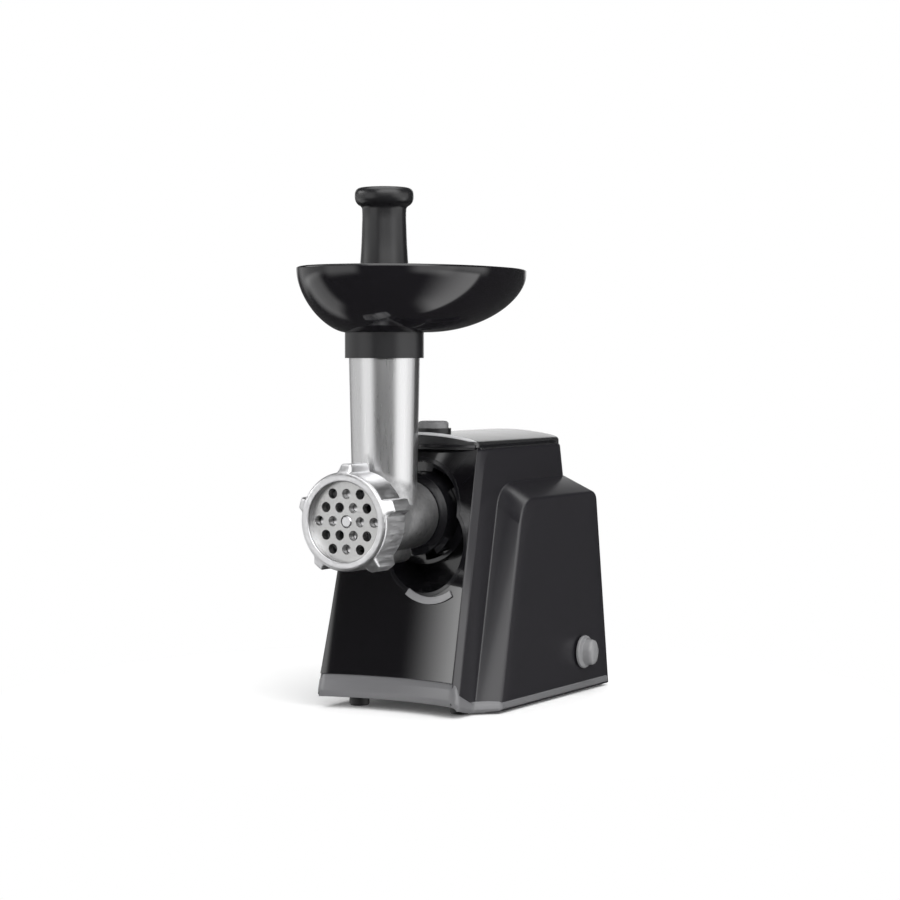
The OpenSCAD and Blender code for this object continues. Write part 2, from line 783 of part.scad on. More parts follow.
module feed_screw() {
    journal_r_front = journal_d / 2 - running_gap;
    flight = screw_y1 - screw_y0;
    color("#aeb0b3") {
        turned([
            [-0.3, 0], [-0.3, journal_r_front - 1], [0.7, journal_r_front],
            [plate_t + end_gap, journal_r_front],
            [plate_t + end_gap, 0]
        ]);
        slab(plate_t + end_gap, chamber_end) translate([0, axis_z]) square(square_w, center = true);
        turned([
            [chamber_end, 0], [chamber_end, screw_core_d / 2],
            [screw_y1, screw_core_d / 2], [screw_y1, 0]
        ]);
        // the flight: one lobe, turned round the core as it goes back
        translate([0, screw_y1, axis_z]) rotate([90, 0, 0])
            linear_extrude(flight, twist = 360 * screw_turns, slices = 60, $fn = 12)
                polygon(concat(
                    [for (a = [-40 : 10 : 40]) (screw_core_d / 2 - 1) * [cos(a), sin(a)]],
                    [for (a = [24 : -8 : -24]) screw_d / 2 * [cos(a), sin(a)]]
                ));
        turned([[screw_y1, 0], [screw_y1, bush_r], [barrel_end + 6, bush_r], [barrel_end + 7, bush_r - 1],
            [barrel_end + 7, 0]]);
        slab(barrel_end + 7, cup_floor + 1) translate([0, axis_z]) circle(d = hex_w / cos(30), $fn = 6);
    }
}

module cutter() {
    y0 = plate_t + end_gap;
    color("#c2c4c7") slab(y0, y0 + cutter_t) translate([0, axis_z]) difference() {
        union() {
            circle(square_w);
            for (a = [0 : 90 : 270]) rotate(a) polygon([
                [0, -6], [cutter_d / 4, -4.5], [cutter_d / 2 - 1, -1.5], [cutter_d / 2, 1],
                [cutter_d / 2 - 1, 3], [cutter_d / 4, 3.4], [0, 6]
            ]);
        }
        square(square_w + 0.1, center = true);
    }
}

// ---------------------------------------------------------------- drive

module drive_hub() {
    color("#2a2a2d") difference() {
        turned([
            [bayonet_end - 6, 0], [bayonet_end - 6, hub_d / 2],
            [case_y - 1, hub_d / 2], [case_y - 1, out_shaft_r],
            [cover_y + cover_t, out_shaft_r], [cover_y + cover_t, 0]
        ]);
        slab(0, cup_floor + 2) translate([0, axis_z])
            circle(d = (hex_w + 0.1) / cos(30), $fn = 6);
    }
}

module output_gear() {
    color("#d9d6cc") {
        gear(out_axis, gear_out_y, gear_out_w, teeth_out, module_out, out_angle, out_shaft_r);
        pipe(out_axis, gear_out_y + gear_out_w, cover_y - 1, out_shaft_r + 4, out_shaft_r);
    }
}

module middle_gear() {
    bore = axle_d / 2 + running_gap;
    color("#e3e0d6") {
        gear(mid_axis, gear_out_y, gear_mid_y - gear_out_y, teeth_pinion_out, module_out,
            out_angle + 180 - 180 / teeth_pinion_out, bore);
        gear(mid_axis, gear_mid_y, gear_mid_w, teeth_mid, module_mid, mid_angle, bore);
        pipe(mid_axis, gear_mid_y + gear_mid_w, cover_y - end_gap, sleeve_r, bore);
    }
}

module first_gear() {
    bore = axle_d / 2 + running_gap;
    color("#e3e0d6") {
        pipe(in_axis, case_y + case_t + end_gap, gear_mid_y, bore + 1.4, bore);
        gear(in_axis, gear_mid_y, gear_in_y - gear_mid_y, teeth_pinion_mid, module_mid,
            mid_angle + 180 - 180 / teeth_pinion_mid, bore);
        gear(in_axis, gear_in_y, gear_in_w, teeth_in, module_in, in_angle, bore);
    }
}

module gear_axles() {
    color("#a8aaad") for (at = [mid_axis, in_axis])
        bar(at, case_y + 1, cover_y + cover_t - 1, axle_d / 2);
}

module output_bushes() {
    color("#b08a4a") {
        pipe(out_axis, case_y, gear_out_y - end_gap, out_bush_r, out_shaft_r + running_gap);
        pipe(out_axis, cover_y - 0.5, cover_y + cover_t, out_bush_r, out_shaft_r + running_gap);
    }
}

module gearbox_case() {
    color("#3a3b3f") difference() {
        slab(case_y, cover_y) gearbox_outline(0);
        slab(case_y + case_t, cover_y + 1) gearbox_outline(case_wall);
        bar(out_axis, 0, cover_y, out_bush_r);
        for (at = [mid_axis, in_axis]) bar(at, case_y + 1, cover_y, axle_d / 2);
    }
}

module gearbox_cover() {
    color("#3a3b3f") difference() {
        union() {
            slab(cover_y, cover_y + cover_t) {
                gearbox_outline(0);
                translate(motor_axis) square([stator_w, stator_h], center = true);
            }
            bar(motor_axis, cover_y, cover_y + bearing_w, boss_r);
        }
        bar(motor_axis, 0, reach, bearing_r);
        bar(out_axis, 0, reach, out_bush_r);
        for (at = [mid_axis, in_axis]) bar(at, 0, cover_y + cover_t - 1, axle_d / 2);
        bolt_holes();
    }
}

module bolt_holes() {
    for (sx = [-1, 1], sz = [-1, 1])
        bar(motor_axis + [sx * bolt_x, sz * bolt_z], 0, reach, bolt_r + 0.1);
}

module motor_bearings() {
    color("#b4b6b9") {
        pipe(motor_axis, cover_y, cover_y + bearing_w, bearing_r, shaft_d / 2 + running_gap);
        pipe(motor_axis, bracket_y - 1.5, bracket_y + bracket_t, rear_bearing_r, journal_r + running_gap);
    }
}

module armature_shaft() {
    color("#b4b6b9") {
        bar(motor_axis, gear_in_y - 1, cover_y, pinion_seat_r);
        bar(motor_axis, cover_y, commutator_y + commutator_len + 1, shaft_d / 2);
        bar(motor_axis, commutator_y + commutator_len + 1, bracket_y + bracket_t, journal_r);
    }
}

module motor_pinion() {
    color("#c9b06a") gear(motor_axis, gear_in_y, gear_in_w, teeth_pinion_in, module_in,
        in_angle + 180 - 180 / teeth_pinion_in, pinion_seat_r);
}

module armature_core() {
    color("#7c7f85") slab(stator_y, stator_end) translate(motor_axis) difference() {
        circle(d = core_d);
        circle(shaft_d / 2);
        for (i = [0 : 11]) rotate(30 * i) translate([core_d / 2 - 2.5, 0]) square([6, 1.6], center = true);
    }
}

module armature_windings() {
    color("#b5651d") for (y = [stator_y - coil_len, stator_end])
        pipe(motor_axis, y, y + coil_len, core_d / 2 - 2, shaft_d / 2);
}

module commutator() {
    color("#b87333")
        pipe(motor_axis, commutator_y, commutator_y + commutator_len, commutator_r, shaft_d / 2);
}

module cooling_fan() {
    color("#26262a") slab(fan_y, fan_y + fan_w) translate(motor_axis) difference() {
        union() {
            circle(9);
            for (i = [0 : 10]) rotate(360 / 11 * i)
                translate([fan_r / 2 + 2, 0]) square([fan_r - 4.4, 1.6], center = true);
        }
        circle(shaft_d / 2);
    }
}

module stator() {
    color("#8a8d92") difference() {
        slab(stator_y, stator_end) translate(motor_axis) difference() {
            intersection() {
                square([stator_w, stator_h], center = true);
                circle(stator_w / 2 + 5);
            }
            circle(core_d / 2 + air_gap);
        }
        bolt_holes();
    }
}

module stator_coils() {
    color("#a4541a") for (y = [stator_y - coil_len, stator_end], a = [90, 270])
        slab(y, y + coil_len) translate(motor_axis) sector(core_d / 2 + 6, core_d / 2 + 1, a, 48);
}

module rear_bracket() {
    color("#3a3b3f") difference() {
        slab(bracket_y, bracket_y + bracket_t) translate(motor_axis) difference() {
            intersection() {
                square([stator_w, stator_h], center = true);
                circle(stator_w / 2 + 5);
            }
            circle(rear_bearing_r);
            for (a = [0, 180]) rotate(a) translate([0, 17]) square([26, 10], center = true);
        }
        bolt_holes();
    }
}

module motor_bolts() {
    color("#9a9ca0") for (sx = [-1, 1], sz = [-1, 1]) {
        at = motor_axis + [sx * bolt_x, sz * bolt_z];
        bar(at, cover_y + 0.5, bracket_y + bracket_t, bolt_r);
        bar(at, bracket_y + bracket_t, bracket_y + bracket_t + 1.5, bolt_r + 1.6);
    }
}

module brush_holders() {
    inner = commutator_r + 2;
    color("#c39a3c") for (side = [-1, 1])
        slab(commutator_y, bracket_y) translate(motor_axis + [side * (inner + 7), 0])
            square([14, holder_w + 3], center = true);
}

module brushes() {
    color("#33343a") for (side = [-1, 1])
        slab(commutator_y + 1, commutator_y + 1 + brush_w)
            translate(motor_axis + [side * (commutator_r + 0.3 + 0.85), 0])
                square([1.7, brush_w], center = true);
}

module motor_pads() {
    low = motor_z - stator_h / 2;
    color("#1f1f22") for (x = [motor_x - 14, motor_x + 14])
        translate([x - 5, stator_y + 4, base_z + base_t]) cube([10, stator_len - 8, low - base_z - base_t]);
}

// ---------------------------------------------------------------- socket

module socket_cup() {
    color("#17171a") intersection() {
        difference() {
            slab(front_y, cup_floor + cup_t) socket_outline(cup_wall);
            slab(0, cup_floor) socket_outline(0);
            bar([0, axis_z], 0, reach, hub_d / 2 + 1);
            latch_slot();
        }
        behind_panel(0);
    }
}

module bayonet_receiver() {
    color("#3b3c40") difference() {
        union() {
            pipe([0, axis_z], receiver_y, cup_floor, receiver_r, receiver_bore_r);
            pipe([0, axis_z], receiver_y, receiver_y + receiver_flange, receiver_r, bayonet_r + 0.4);
        }
        slab(0, receiver_y + receiver_flange + 1) translate([0, axis_z])
            for (a = hooks) sector(receiver_bore_r, 0, a - unlock_angle, hook_angle + 3);
        latch_slot();
    }
}

// The slot in which the latch's tooth swings forward.
module latch_slot() {
    swing = (latch_z - tooth_low) * sin(latch_angle) + end_gap;
    translate([-latch_w / 2, tooth_y - swing, axis_z]) cube([latch_w, tooth_t + swing + 1, reach]);
}

module socket_trim() {
    color("#a7a9ad") intersection() {
        slab(front_y - 8, cup_floor) translate([pocket_x, axis_z + pocket_z])
            sector(pocket_r + trim_w, pocket_r + 0.4, trim_from, trim_angle);
        behind_panel(-trim_proud);
        difference() {
            translate([-reach / 2, 0, 0]) cube([reach, reach, reach]);
            behind_panel(-0.05);
        }
    }
}

// ---------------------------------------------------------------- housing

module front_panel() {
    color("#1a1a1d") difference() {
        intersection() {
            slab(0, cup_floor) panel_outline(0);
            behind_panel(0);
        }
        behind_panel(panel_t);
        slab(0, reach) socket_outline(cup_wall + 0.1);
    }
}

// Both shells before they are parted: hollow, and open for the front panel.
module shells() {
    difference() {
        intersection() {
            union() {
                envelope(0);
                bulge(0);
            }
            above_band();
        }
        envelope(wall);
        bulge(wall);
        intersection() {
            slab(0, seam_y + 30) polygon([
                [-reach, 0], [panel_foot + 0.1, 0], [panel_foot + 0.1, band_front_top],
                [panel_top + 0.1, shell_top], [panel_top + 0.1, reach], [-reach, reach]
            ]);
            panel_frame() translate([-reach / 2, -reach, -reach])
                cube([reach, reach + panel_sag + panel_t + 1, 2 * reach]);
        }
    }
}

module right_shell() {
    color("#2c2c30") {
        difference() {
            intersection() {
                shells();
                translate([0, 0, 0]) cube(reach);
            }
            translate([0, selector_y, selector_z]) rotate([0, 90, 0]) cylinder(r = 4.2, h = reach);
        }
        post(posts[2], right_at(base_z) - wall / 2);
        post(posts[3], bulge_x_at(base_z, posts[3][1]) - wall / 2);
    }
}

module left_shell() {
    color("#202023") {
        difference() {
            intersection() {
                shells();
                translate([-reach, 0, 0]) cube(reach);
            }
            bar([grommet_x, grommet_z], 150, reach, grommet_r - 1.5);
            for (i = [0 : 5]) translate([-30 + 5 * i, 150, 60]) cube([2.4, 100, 26]);
        }
        for (p = [posts[0], posts[1]]) post(p, left_at(base_z) + wall / 2);
    }
}

// A screw post that stands on the base plate, with a rib out to the shell's wall.
module post(at, wall_x) {
    translate([0, at[1], base_z + base_t]) difference() {
        union() {
            translate([at[0], 0, 0]) cylinder(r = post_r, h = post_h);
            translate([min(at[0], wall_x), -1.25, 2]) cube([abs(wall_x - at[0]), 2.5, post_h - 4]);
        }
        translate([at[0], 0, -1]) cylinder(r = screw_r + 0.05, h = post_h - 1);
    }
}

module trim_line() {
    color("#c4c6c9") intersection() {
        difference() {
            envelope(0);
            envelope(wall);
        }
        translate([-reach / 2, 0, shell_top]) cube([reach, reach, line_h]);
    }
}

module top_cap() {
    color("#141416") difference() {
        intersection() {
            difference() {
                envelope(0);
                intersection() {
                    envelope(wall);
                    translate([-reach / 2, 0, 0]) cube([reach, reach, crown_z - wall]);
                    dome(wall);
                }
            }
            dome(0);
            translate([-reach / 2, 0, shell_top + line_h]) cube([reach, reach, reach]);
        }
        translate([0, button_y, 0]) cylinder(r = bezel_r - 0.15, h = reach);
    }
}

// The long round body whose top is the cap's dome, drawn inwards by inset.
module dome(inset) {
    translate([0, -inset - 1, crown_z - dome_r])
        rotate([-90, 0, 0]) cylinder(r = dome_r - inset, h = reach, $fn = 360);
}

module base_band() {
    color("#a9abae") intersection() {
        difference() {
            union() {
                envelope(-band_proud);
                bulge(-band_proud);
            }
            intersection() {
                union() {
                    envelope(band_t);
                    bulge(band_t);
                }
                behind_panel(band_t);
            }
        }
        behind_panel(-band_proud);
        band_levels();
    }
}

module base_plate() {
    color("#1d1d20") difference() {
        intersection() {
            union() {
                envelope(band_t + 0.1);
                bulge(band_t + 0.1);
            }
            translate([-reach / 2, 0, base_z]) cube([reach, reach, base_t]);
            behind_panel(band_t + 0.1);
        }
        for (i = [0 : 7]) translate([-20 + 8 * i, 150, 0]) cube([3, 36, 30]);
        for (p = posts) translate([p[0], p[1], 0]) cylinder(r = screw_r + 0.05, h = 30);
    }
}

module feet() {
    color("#26262a") for (p = feet_at) translate([p[0], p[1], 0]) {
        cylinder(d1 = foot_d - 1.5, d2 = foot_d, h = 1.2);
        translate([0, 0, 1.2]) cylinder(d = foot_d, h = base_z - 1.2);
    }
}

module base_screws() {
    color("#9a9ca0") for (p = posts) translate([p[0], p[1], base_z]) {
        cylinder(r = screw_r, h = 11);
        translate([0, 0, -2]) cylinder(r = screw_head_r, h = 2);
    }
}

// ---------------------------------------------------------------- controls and wiring

// A frame on the bulge's face at the selector: z points out of the face.
module selector_frame() {
    translate([switch_x, selector_y, selector_z]) rotate([0, 90, 0]) children();
}

module selector_knob() {
    color("#b3b5b8") selector_frame() {
        translate([0, 0, selector_gap]) cylinder(d = selector_d, h = 2);
        translate([0, 0, selector_gap + 2]) cylinder(d1 = selector_d - 1, d2 = grip_d + 2, h = 1.2);
        intersection() {
            translate([0, 0, selector_gap]) cylinder(d = grip_d + 1, h = selector_h - selector_gap);
            translate([-reach / 2, -grip_d * 0.36, 0]) cube([reach, grip_d * 0.72, selector_h]);
        }
        translate([0, 0, -wall - 8]) cylinder(r = 3, h = wall + 9);
    }
}

module rotary_switch() {
    color("#3c4248") difference() {
        translate([switch_face, selector_y - switch_w / 2, selector_z - switch_w / 2])
            cube([switch_depth, switch_w, switch_w]);
        translate([0, selector_y, selector_z]) rotate([0, 90, 0]) cylinder(r = 3 + running_gap, h = reach);
    }
}

module suppressor() {
    color("#c8a63a")
        translate([suppressor_at[0], suppressor_at[1], base_z + base_t]) cube(suppressor_size);
}

module cord_grommet() {
    back = rear_at(grommet_z);
    color("#1b1b1e") difference() {
        union() {
            bar([grommet_x, grommet_z], back - wall - 6, back + 0.4, grommet_r - 1.6);
            bar([grommet_x, grommet_z], back - wall - 6, back - wall - 1.2, grommet_r);
        }
        bar([grommet_x, grommet_z], 0, reach, cord_d / 2);
    }
}

module internal_leads() {
    holder_face = motor_x - commutator_r - 2 - 14;
    inlet = rear_at(grommet_z) - wall - 6;
    low = base_z + base_t + 5;
    top = base_z + base_t + suppressor_size[2];
    color("#7a4a22") {
        // from the grommet, over the base plate, to the switch
        sweep([
            [grommet_x, inlet - 1.5, grommet_z], [grommet_x, inlet - 5, grommet_z - 1.5],
            [grommet_x + 2, inlet - 12, low + 4], [grommet_x + 8, inlet - 15, low],
            [switch_face - 20, selector_y + 9, low], [switch_face - 5, selector_y + 5, low + 4],
            [switch_face - lead_r, selector_y + 4, low + 6]
        ], lead_r, 8);
        // from the suppressor to a brush holder
        sweep([
            [suppressor_at[0] + 6, suppressor_at[1] + suppressor_size[1] - 6, top + lead_r],
            [suppressor_at[0] + 14, suppressor_at[1] + suppressor_size[1] + 4, top + 10],
            [holder_face - 4, commutator_y + 6, motor_z - 10],
            [holder_face - lead_r, commutator_y + 2, motor_z]
        ], lead_r, 8);
    }
}

module button_bezel() {
    color("#1b1b1e") translate([0, button_y, 0]) {
        difference() {
            translate([0, 0, bezel_floor]) cylinder(r = bezel_r - 0.3, h = bezel_top - bezel_floor);
            translate([0, 0, bezel_floor + bezel_floor_t]) cylinder(r = button_d / 2 + 0.35, h = reach);
            cylinder(r = stem_r + running_gap * 2, h = reach);
        }
    }
}

module release_button() {
    color("#c4c6c9") translate([0, button_y, 0]) {
        rotate_extrude() polygon([
            [button_d / 2 - 2, button_low], [button_d / 2, button_low], [button_d / 2, button_top - 1.5],
            [button_d / 2 - 1.2, button_top - 0.3], [button_d / 2 - 3, button_top], [0, button_top],
            [0, button_top - 2.5], [button_d / 2 - 2, button_top - 2.5]
        ]);
        translate([0, 0, stem_low]) cylinder(r = stem_r, h = button_top - 1 - stem_low);
    }
}

module button_spring() {
    low = bezel_floor + bezel_floor_t + spring_wire / 2 + 0.05;
    high = button_top - 2.5 - spring_wire / 2 - 0.05;
    steps = 16 * spring_turns;
    color("#b4b6b9") translate([0, button_y, 0]) sweep(
        [for (i = [0 : steps]) [
            spring_r * cos(360 * i / 16), spring_r * sin(360 * i / 16), low + (high - low) * i / steps
        ]],
        spring_wire / 2, 8
    );
}

module latch_lever() {
    color("#8f9195") difference() {
        rotate([90, 0, 90]) translate([0, 0, -latch_w / 2 + 1]) linear_extrude(latch_w - 2) union() {
            translate([tooth_y, latch_z - latch_t / 2]) square([button_y + 1 - tooth_y, latch_t]);
            translate([tooth_y, tooth_low]) square([tooth_t, latch_z - tooth_low]);
            translate([button_y, latch_z + latch_t / 2 - 0.2]) circle(latch_pad + 0.2, $fn = 32);
        }
        rotate([90, 0, 90]) translate([latch_y, latch_z, -20]) cylinder(r = pivot_r + running_gap, h = 40);
    }
}

module latch_pivot() {
    color("#9a9ca0") {
        rotate([90, 0, 90]) translate([latch_y, latch_z, -latch_w]) cylinder(r = pivot_r, h = 2 * latch_w);
        for (side = [-1, 1])
            translate([side * (latch_w - lug_t) - lug_t / 2, latch_y - lug_t, latch_z - lug_low])
                cube([lug_t, 2 * lug_t, bezel_floor - latch_z + lug_low - 0.1]);
    }
}

// ---------------------------------------------------------------- the machine on its origin

translate([-x_mid, -y_mid, 0]) {
    pusher();
    hopper_tray();
    tray_collar();
    head_casting();
    bayonet_collar();
    collar_screws();
    screw_bush();
    hole_plate();
    ring_nut();
    feed_screw();
    cutter();
    drive_hub();
    output_gear();
    middle_gear();
    first_gear();
    armature_shaft();
    armature_core();
    armature_windings();
    commutator();
    motor_pinion();
    cooling_fan();
    socket_cup();
    bayonet_receiver();
    socket_trim();
    front_panel();
    left_shell();
    right_shell();
    trim_line();
    top_cap();
    base_band();
    base_plate();
    feet();
    base_screws();
    gearbox_case();
    gearbox_cover();
    gear_axles();
    output_bushes();
    motor_bearings();
    stator();
    stator_coils();
    rear_bracket();
    motor_bolts();
    brush_holders();
    brushes();
    motor_pads();
    rotary_switch();
    suppressor();
    internal_leads();
    cord_grommet();
    button_bezel();
    latch_pivot();
    selector_knob();
    release_button();
    button_spring();
    latch_lever();
}
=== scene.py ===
"""Electric meat grinder: the looks of the machine, its studio and its camera.

Lengths in the shape functions are millimetres from the machine's own origin, which lies on the barrel's
axis, in the plane of the hole plate's face, on the worktop: x is to the right, y to the back and z up.
pieced() moves them to the frame, in metres.
"""

import math

import bmesh
import bpy
import numpy as np
from mathutils import Euler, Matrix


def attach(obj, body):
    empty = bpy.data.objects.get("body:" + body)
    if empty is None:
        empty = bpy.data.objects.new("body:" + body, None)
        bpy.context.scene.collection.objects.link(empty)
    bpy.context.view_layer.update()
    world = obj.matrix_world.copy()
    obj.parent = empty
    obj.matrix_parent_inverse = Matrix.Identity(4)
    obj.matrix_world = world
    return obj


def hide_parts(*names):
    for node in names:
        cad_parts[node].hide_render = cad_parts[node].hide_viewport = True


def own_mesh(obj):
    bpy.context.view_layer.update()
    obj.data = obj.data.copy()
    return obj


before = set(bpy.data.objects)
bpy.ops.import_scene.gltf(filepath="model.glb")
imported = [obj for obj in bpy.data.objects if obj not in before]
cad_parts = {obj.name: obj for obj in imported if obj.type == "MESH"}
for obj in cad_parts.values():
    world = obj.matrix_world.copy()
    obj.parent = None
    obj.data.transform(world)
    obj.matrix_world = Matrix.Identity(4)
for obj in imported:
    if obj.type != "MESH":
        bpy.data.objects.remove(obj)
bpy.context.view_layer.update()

# The rest of this block is in millimetres and degrees.
FRAME_ORIGIN = np.array([7.633868, 108.9, 0.0])     # seen from the machine's own origin
AXIS_Z = 124.5          # the barrel's axis
TUBE_Y = 45.7           # the feed tube's axis
TRAY_FOOT_R = 25        # radius of the tray's round foot
TRAY_RIM = 283.1        # top of the tray's rim
TRAY_DEPTH = 41.5       # from the top of the rim to the tray's foot
WALL = 2.4              # the tray's wall, and the shells'
HOUSING_FOOT = 1.5
BAND_TOP = 21.7         # upper edge of the band, along the front
SHELL_TOP = 168.0
CAP_FOOT = 166.4
CAP_LEVEL = 171.0       # where the cap's outline is taken
CROWN_Z = 176.5         # the cap's highest line
DOME_R = 195.0
FRONT_LEAN = 15.4       # the faces' leans from upright
REAR_LEAN = 6.4
RIGHT_LEAN = 3.3
LEFT_LEAN = 1.15
BULGE_LEAN = 14.2
PANEL_HALF = 48.8       # half width of the front panel at the band's top
HOLLOW_R = 170          # the panel's hollow is an arc of this radius,
HOLLOW_CHORD = 162.8    # whose centre lies this far before the panel's plane
EDGE_R = 2.2            # the eased edges between shells, cap and dome
SOCKET_X = 20.5         # middle of the round recess
SOCKET_Z = AXIS_Z - 23
BUTTON_Y = 108.0
KNOB_PLACE = (69.77, 188.0, 27.5)   # the middle of the switch knob, on the side face


# ------------------------------------------------------------ finishes


class Finish:
    """A node material that is built up from Object coordinates."""

    def __init__(self, name):
        self.material = bpy.data.materials.new(name)
        self.material.use_nodes = True
        self.tree = self.material.node_tree
        self.shader = self.tree.nodes["Principled BSDF"]
        self.place = self.tree.nodes.new("ShaderNodeTexCoord").outputs["Object"]

    def node(self, kind, **values):
        """A node of that kind, with its sockets and settings set by name."""
        made = self.tree.nodes.new("ShaderNode" + kind)
        for key, value in values.items():
            socket = made.inputs.get(key.replace("_", " "))
            if socket is None:
                setattr(made, key, value)
            else:
                socket.default_value = value
        return made

    def join(self, source, target):
        """Links a node's output to another node's input."""
        self.tree.links.new(source, target)

    def stretched(self, stretch):
        """Object coordinates, scaled along each axis."""
        mapping = self.node("Mapping", Scale=stretch)
        self.join(self.place, mapping.inputs["Vector"])
        return mapping.outputs["Vector"]

    def noise(self, scale, detail=4.0, roughness=0.55, stretch=(1, 1, 1)):
        """A noise from 0 to 1, with about scale waves in a metre, more or fewer by stretch."""
        made = self.node("TexNoise", Scale=scale, Detail=detail, Roughness=roughness)
        self.join(self.stretched(stretch), made.inputs["Vector"])
        return made.outputs["Fac"]

    def between(self, factor, low, high, start=0.35, end=0.65):
        """A number that goes from low to high as factor goes from start to end."""
        made = self.node("MapRange")
        limits = {"From Min": start, "From Max": end, "To Min": low, "To Max": high}
        for key, value in limits.items():
            made.inputs[key].default_value = value
        self.join(factor, made.inputs["Value"])
        return made.outputs["Result"]

    def worked_out(self, operation, first, second):
        """The result of an operation on two outputs or plain numbers."""
        made = self.node("Math", operation=operation)
        for socket, value in zip(made.inputs, (first, second)):
            if isinstance(value, (int, float)):
                socket.default_value = value
            else:
                self.join(value, socket)
        return made.outputs[0]

    def off_barrel(self):
        """Distance in metres from the barrel's axis, which runs along y."""
        middle = (FRAME_ORIGIN[0] / 1000, 0, -AXIS_Z / 1000)
        centred = self.node("Mapping", Location=middle, Scale=(1, 0, 1))
        self.join(self.place, centred.inputs["Vector"])
        length = self.node("VectorMath", operation="LENGTH")
        self.join(centred.outputs["Vector"], length.inputs[0])
        return length.outputs["Value"]

    def tinted(self, factor, dark, light):
        """A colour between dark and light, by factor."""
        made = self.node("Mix", data_type="RGBA")
        for socket, value in ((made.inputs[6], dark), (made.inputs[7], light)):
            if isinstance(value, tuple):
                socket.default_value = (*value, 1)
            else:
                self.join(value, socket)
        self.join(factor, made.inputs[0])
        return made.outputs[2]

    def bumped(self, *layers, edge=0.0):
        """Joins layers of (height, distance in metres) into the shader's normal, over edges that are
        rounded by edge."""
        normal = None
        if edge:
            normal = self.node("Bevel", Radius=edge, samples=4).outputs["Normal"]
        for height, distance in layers:
            made = self.node("Bump", Distance=distance, Strength=1.0)
            self.join(height, made.inputs["Height"])
            if normal is not None:
                self.join(normal, made.inputs["Normal"])
            normal = made.outputs["Normal"]
        self.join(normal, self.shader.inputs["Normal"])

    def coloured(self, colour):
        """Gives the surface that colour."""
        self.join(colour, self.shader.inputs["Base Color"])

    def roughened(self, value):
        """Gives the surface that roughness."""
        self.join(value, self.shader.inputs["Roughness"])


def moulded(name, colour, gloss, grain=1e-5, grain_scale=1800, spread=0.04, coat=0.0, edge=0.0005):
    """Moulded plastic: cloudy colour, uneven roughness and a fine spark-eroded grain."""
    made = Finish(name)
    cloud = made.noise(22, 3)
    dark = tuple(c * (1 - spread) for c in colour)
    light = tuple(c * (1 + spread) for c in colour)
    made.coloured(made.tinted(made.between(cloud, 0, 1, 0.2, 0.8), dark, light))
    smear = made.noise(60, 5, 0.6)
    made.roughened(made.between(smear, gloss * 0.96, gloss * 1.04, 0.2, 0.8))
    made.bumped((made.noise(grain_scale, 2, 0.5), grain), edge=edge)
    made.shader.inputs["Coat Weight"].default_value = coat
    made.shader.inputs["Coat Roughness"].default_value = 0.03
    return made.material


def metal(name, colour, gloss, stretch=(1, 1, 1), scale=900, line_depth=4e-6, spread=0.1,
          edge=0.0004):
    """Bare metal: brush lines or cast grain by stretch, cloudy roughness and slight tarnish."""
    made = Finish(name)
    made.shader.inputs["Metallic"].default_value = 1.0
    lines = made.noise(scale, 3, 0.6, stretch)
    cloud = made.noise(30, 4)
    dark = tuple(c * (1 - spread) for c in colour)
    made.coloured(made.tinted(made.between(cloud, 0, 1), dark, colour))
    made.roughened(made.between(lines, gloss * 0.8, gloss * 1.25))
    made.bumped((lines, line_depth), edge=edge)
    return made.material


def head_metal(name):
    """The grinding head's cast aluminium: a tube brushed along its height, on a cloudy barrel whose
    darker grey is painted shade. The one turns into the other 28.5 to 31.5 mm from the barrel's axis."""
    # the barrel's darker grey is painted shade: the same aluminium as the tube, darkened where it
    # reflects the black body
    bright, barrel_painted_shade = (0.66, 0.66, 0.665), (0.3, 0.3, 0.305)
    made = Finish(name)
    made.shader.inputs["Metallic"].default_value = 1.0
    on_tube = made.between(made.off_barrel(), 0, 1, 0.0285, 0.0315)
    brushed = made.noise(1500, 3, 0.6, (1, 1, 0.02))
    cast = made.noise(420, 5, 0.6)
    cloud = made.noise(48, 5, 0.65)
    barrel = made.tinted(made.between(cloud, 0, 1, 0.4, 0.66), barrel_painted_shade, bright)
    made.coloured(made.tinted(on_tube, barrel, bright))
    rough = made.node("Mix", data_type="FLOAT")
    made.join(on_tube, rough.inputs[0])
    made.join(made.between(cloud, 0.55, 0.42), rough.inputs[2])
    made.join(made.between(brushed, 0.27, 0.31), rough.inputs[3])
    made.roughened(rough.outputs[0])
    on_barrel = made.worked_out("SUBTRACT", 1.0, on_tube)
    depth = made.worked_out("ADD", made.worked_out("MULTIPLY", brushed, on_tube),
                            made.worked_out("MULTIPLY", cast, on_barrel))
    made.bumped((depth, 2e-6), edge=0.0012)
    return made.material


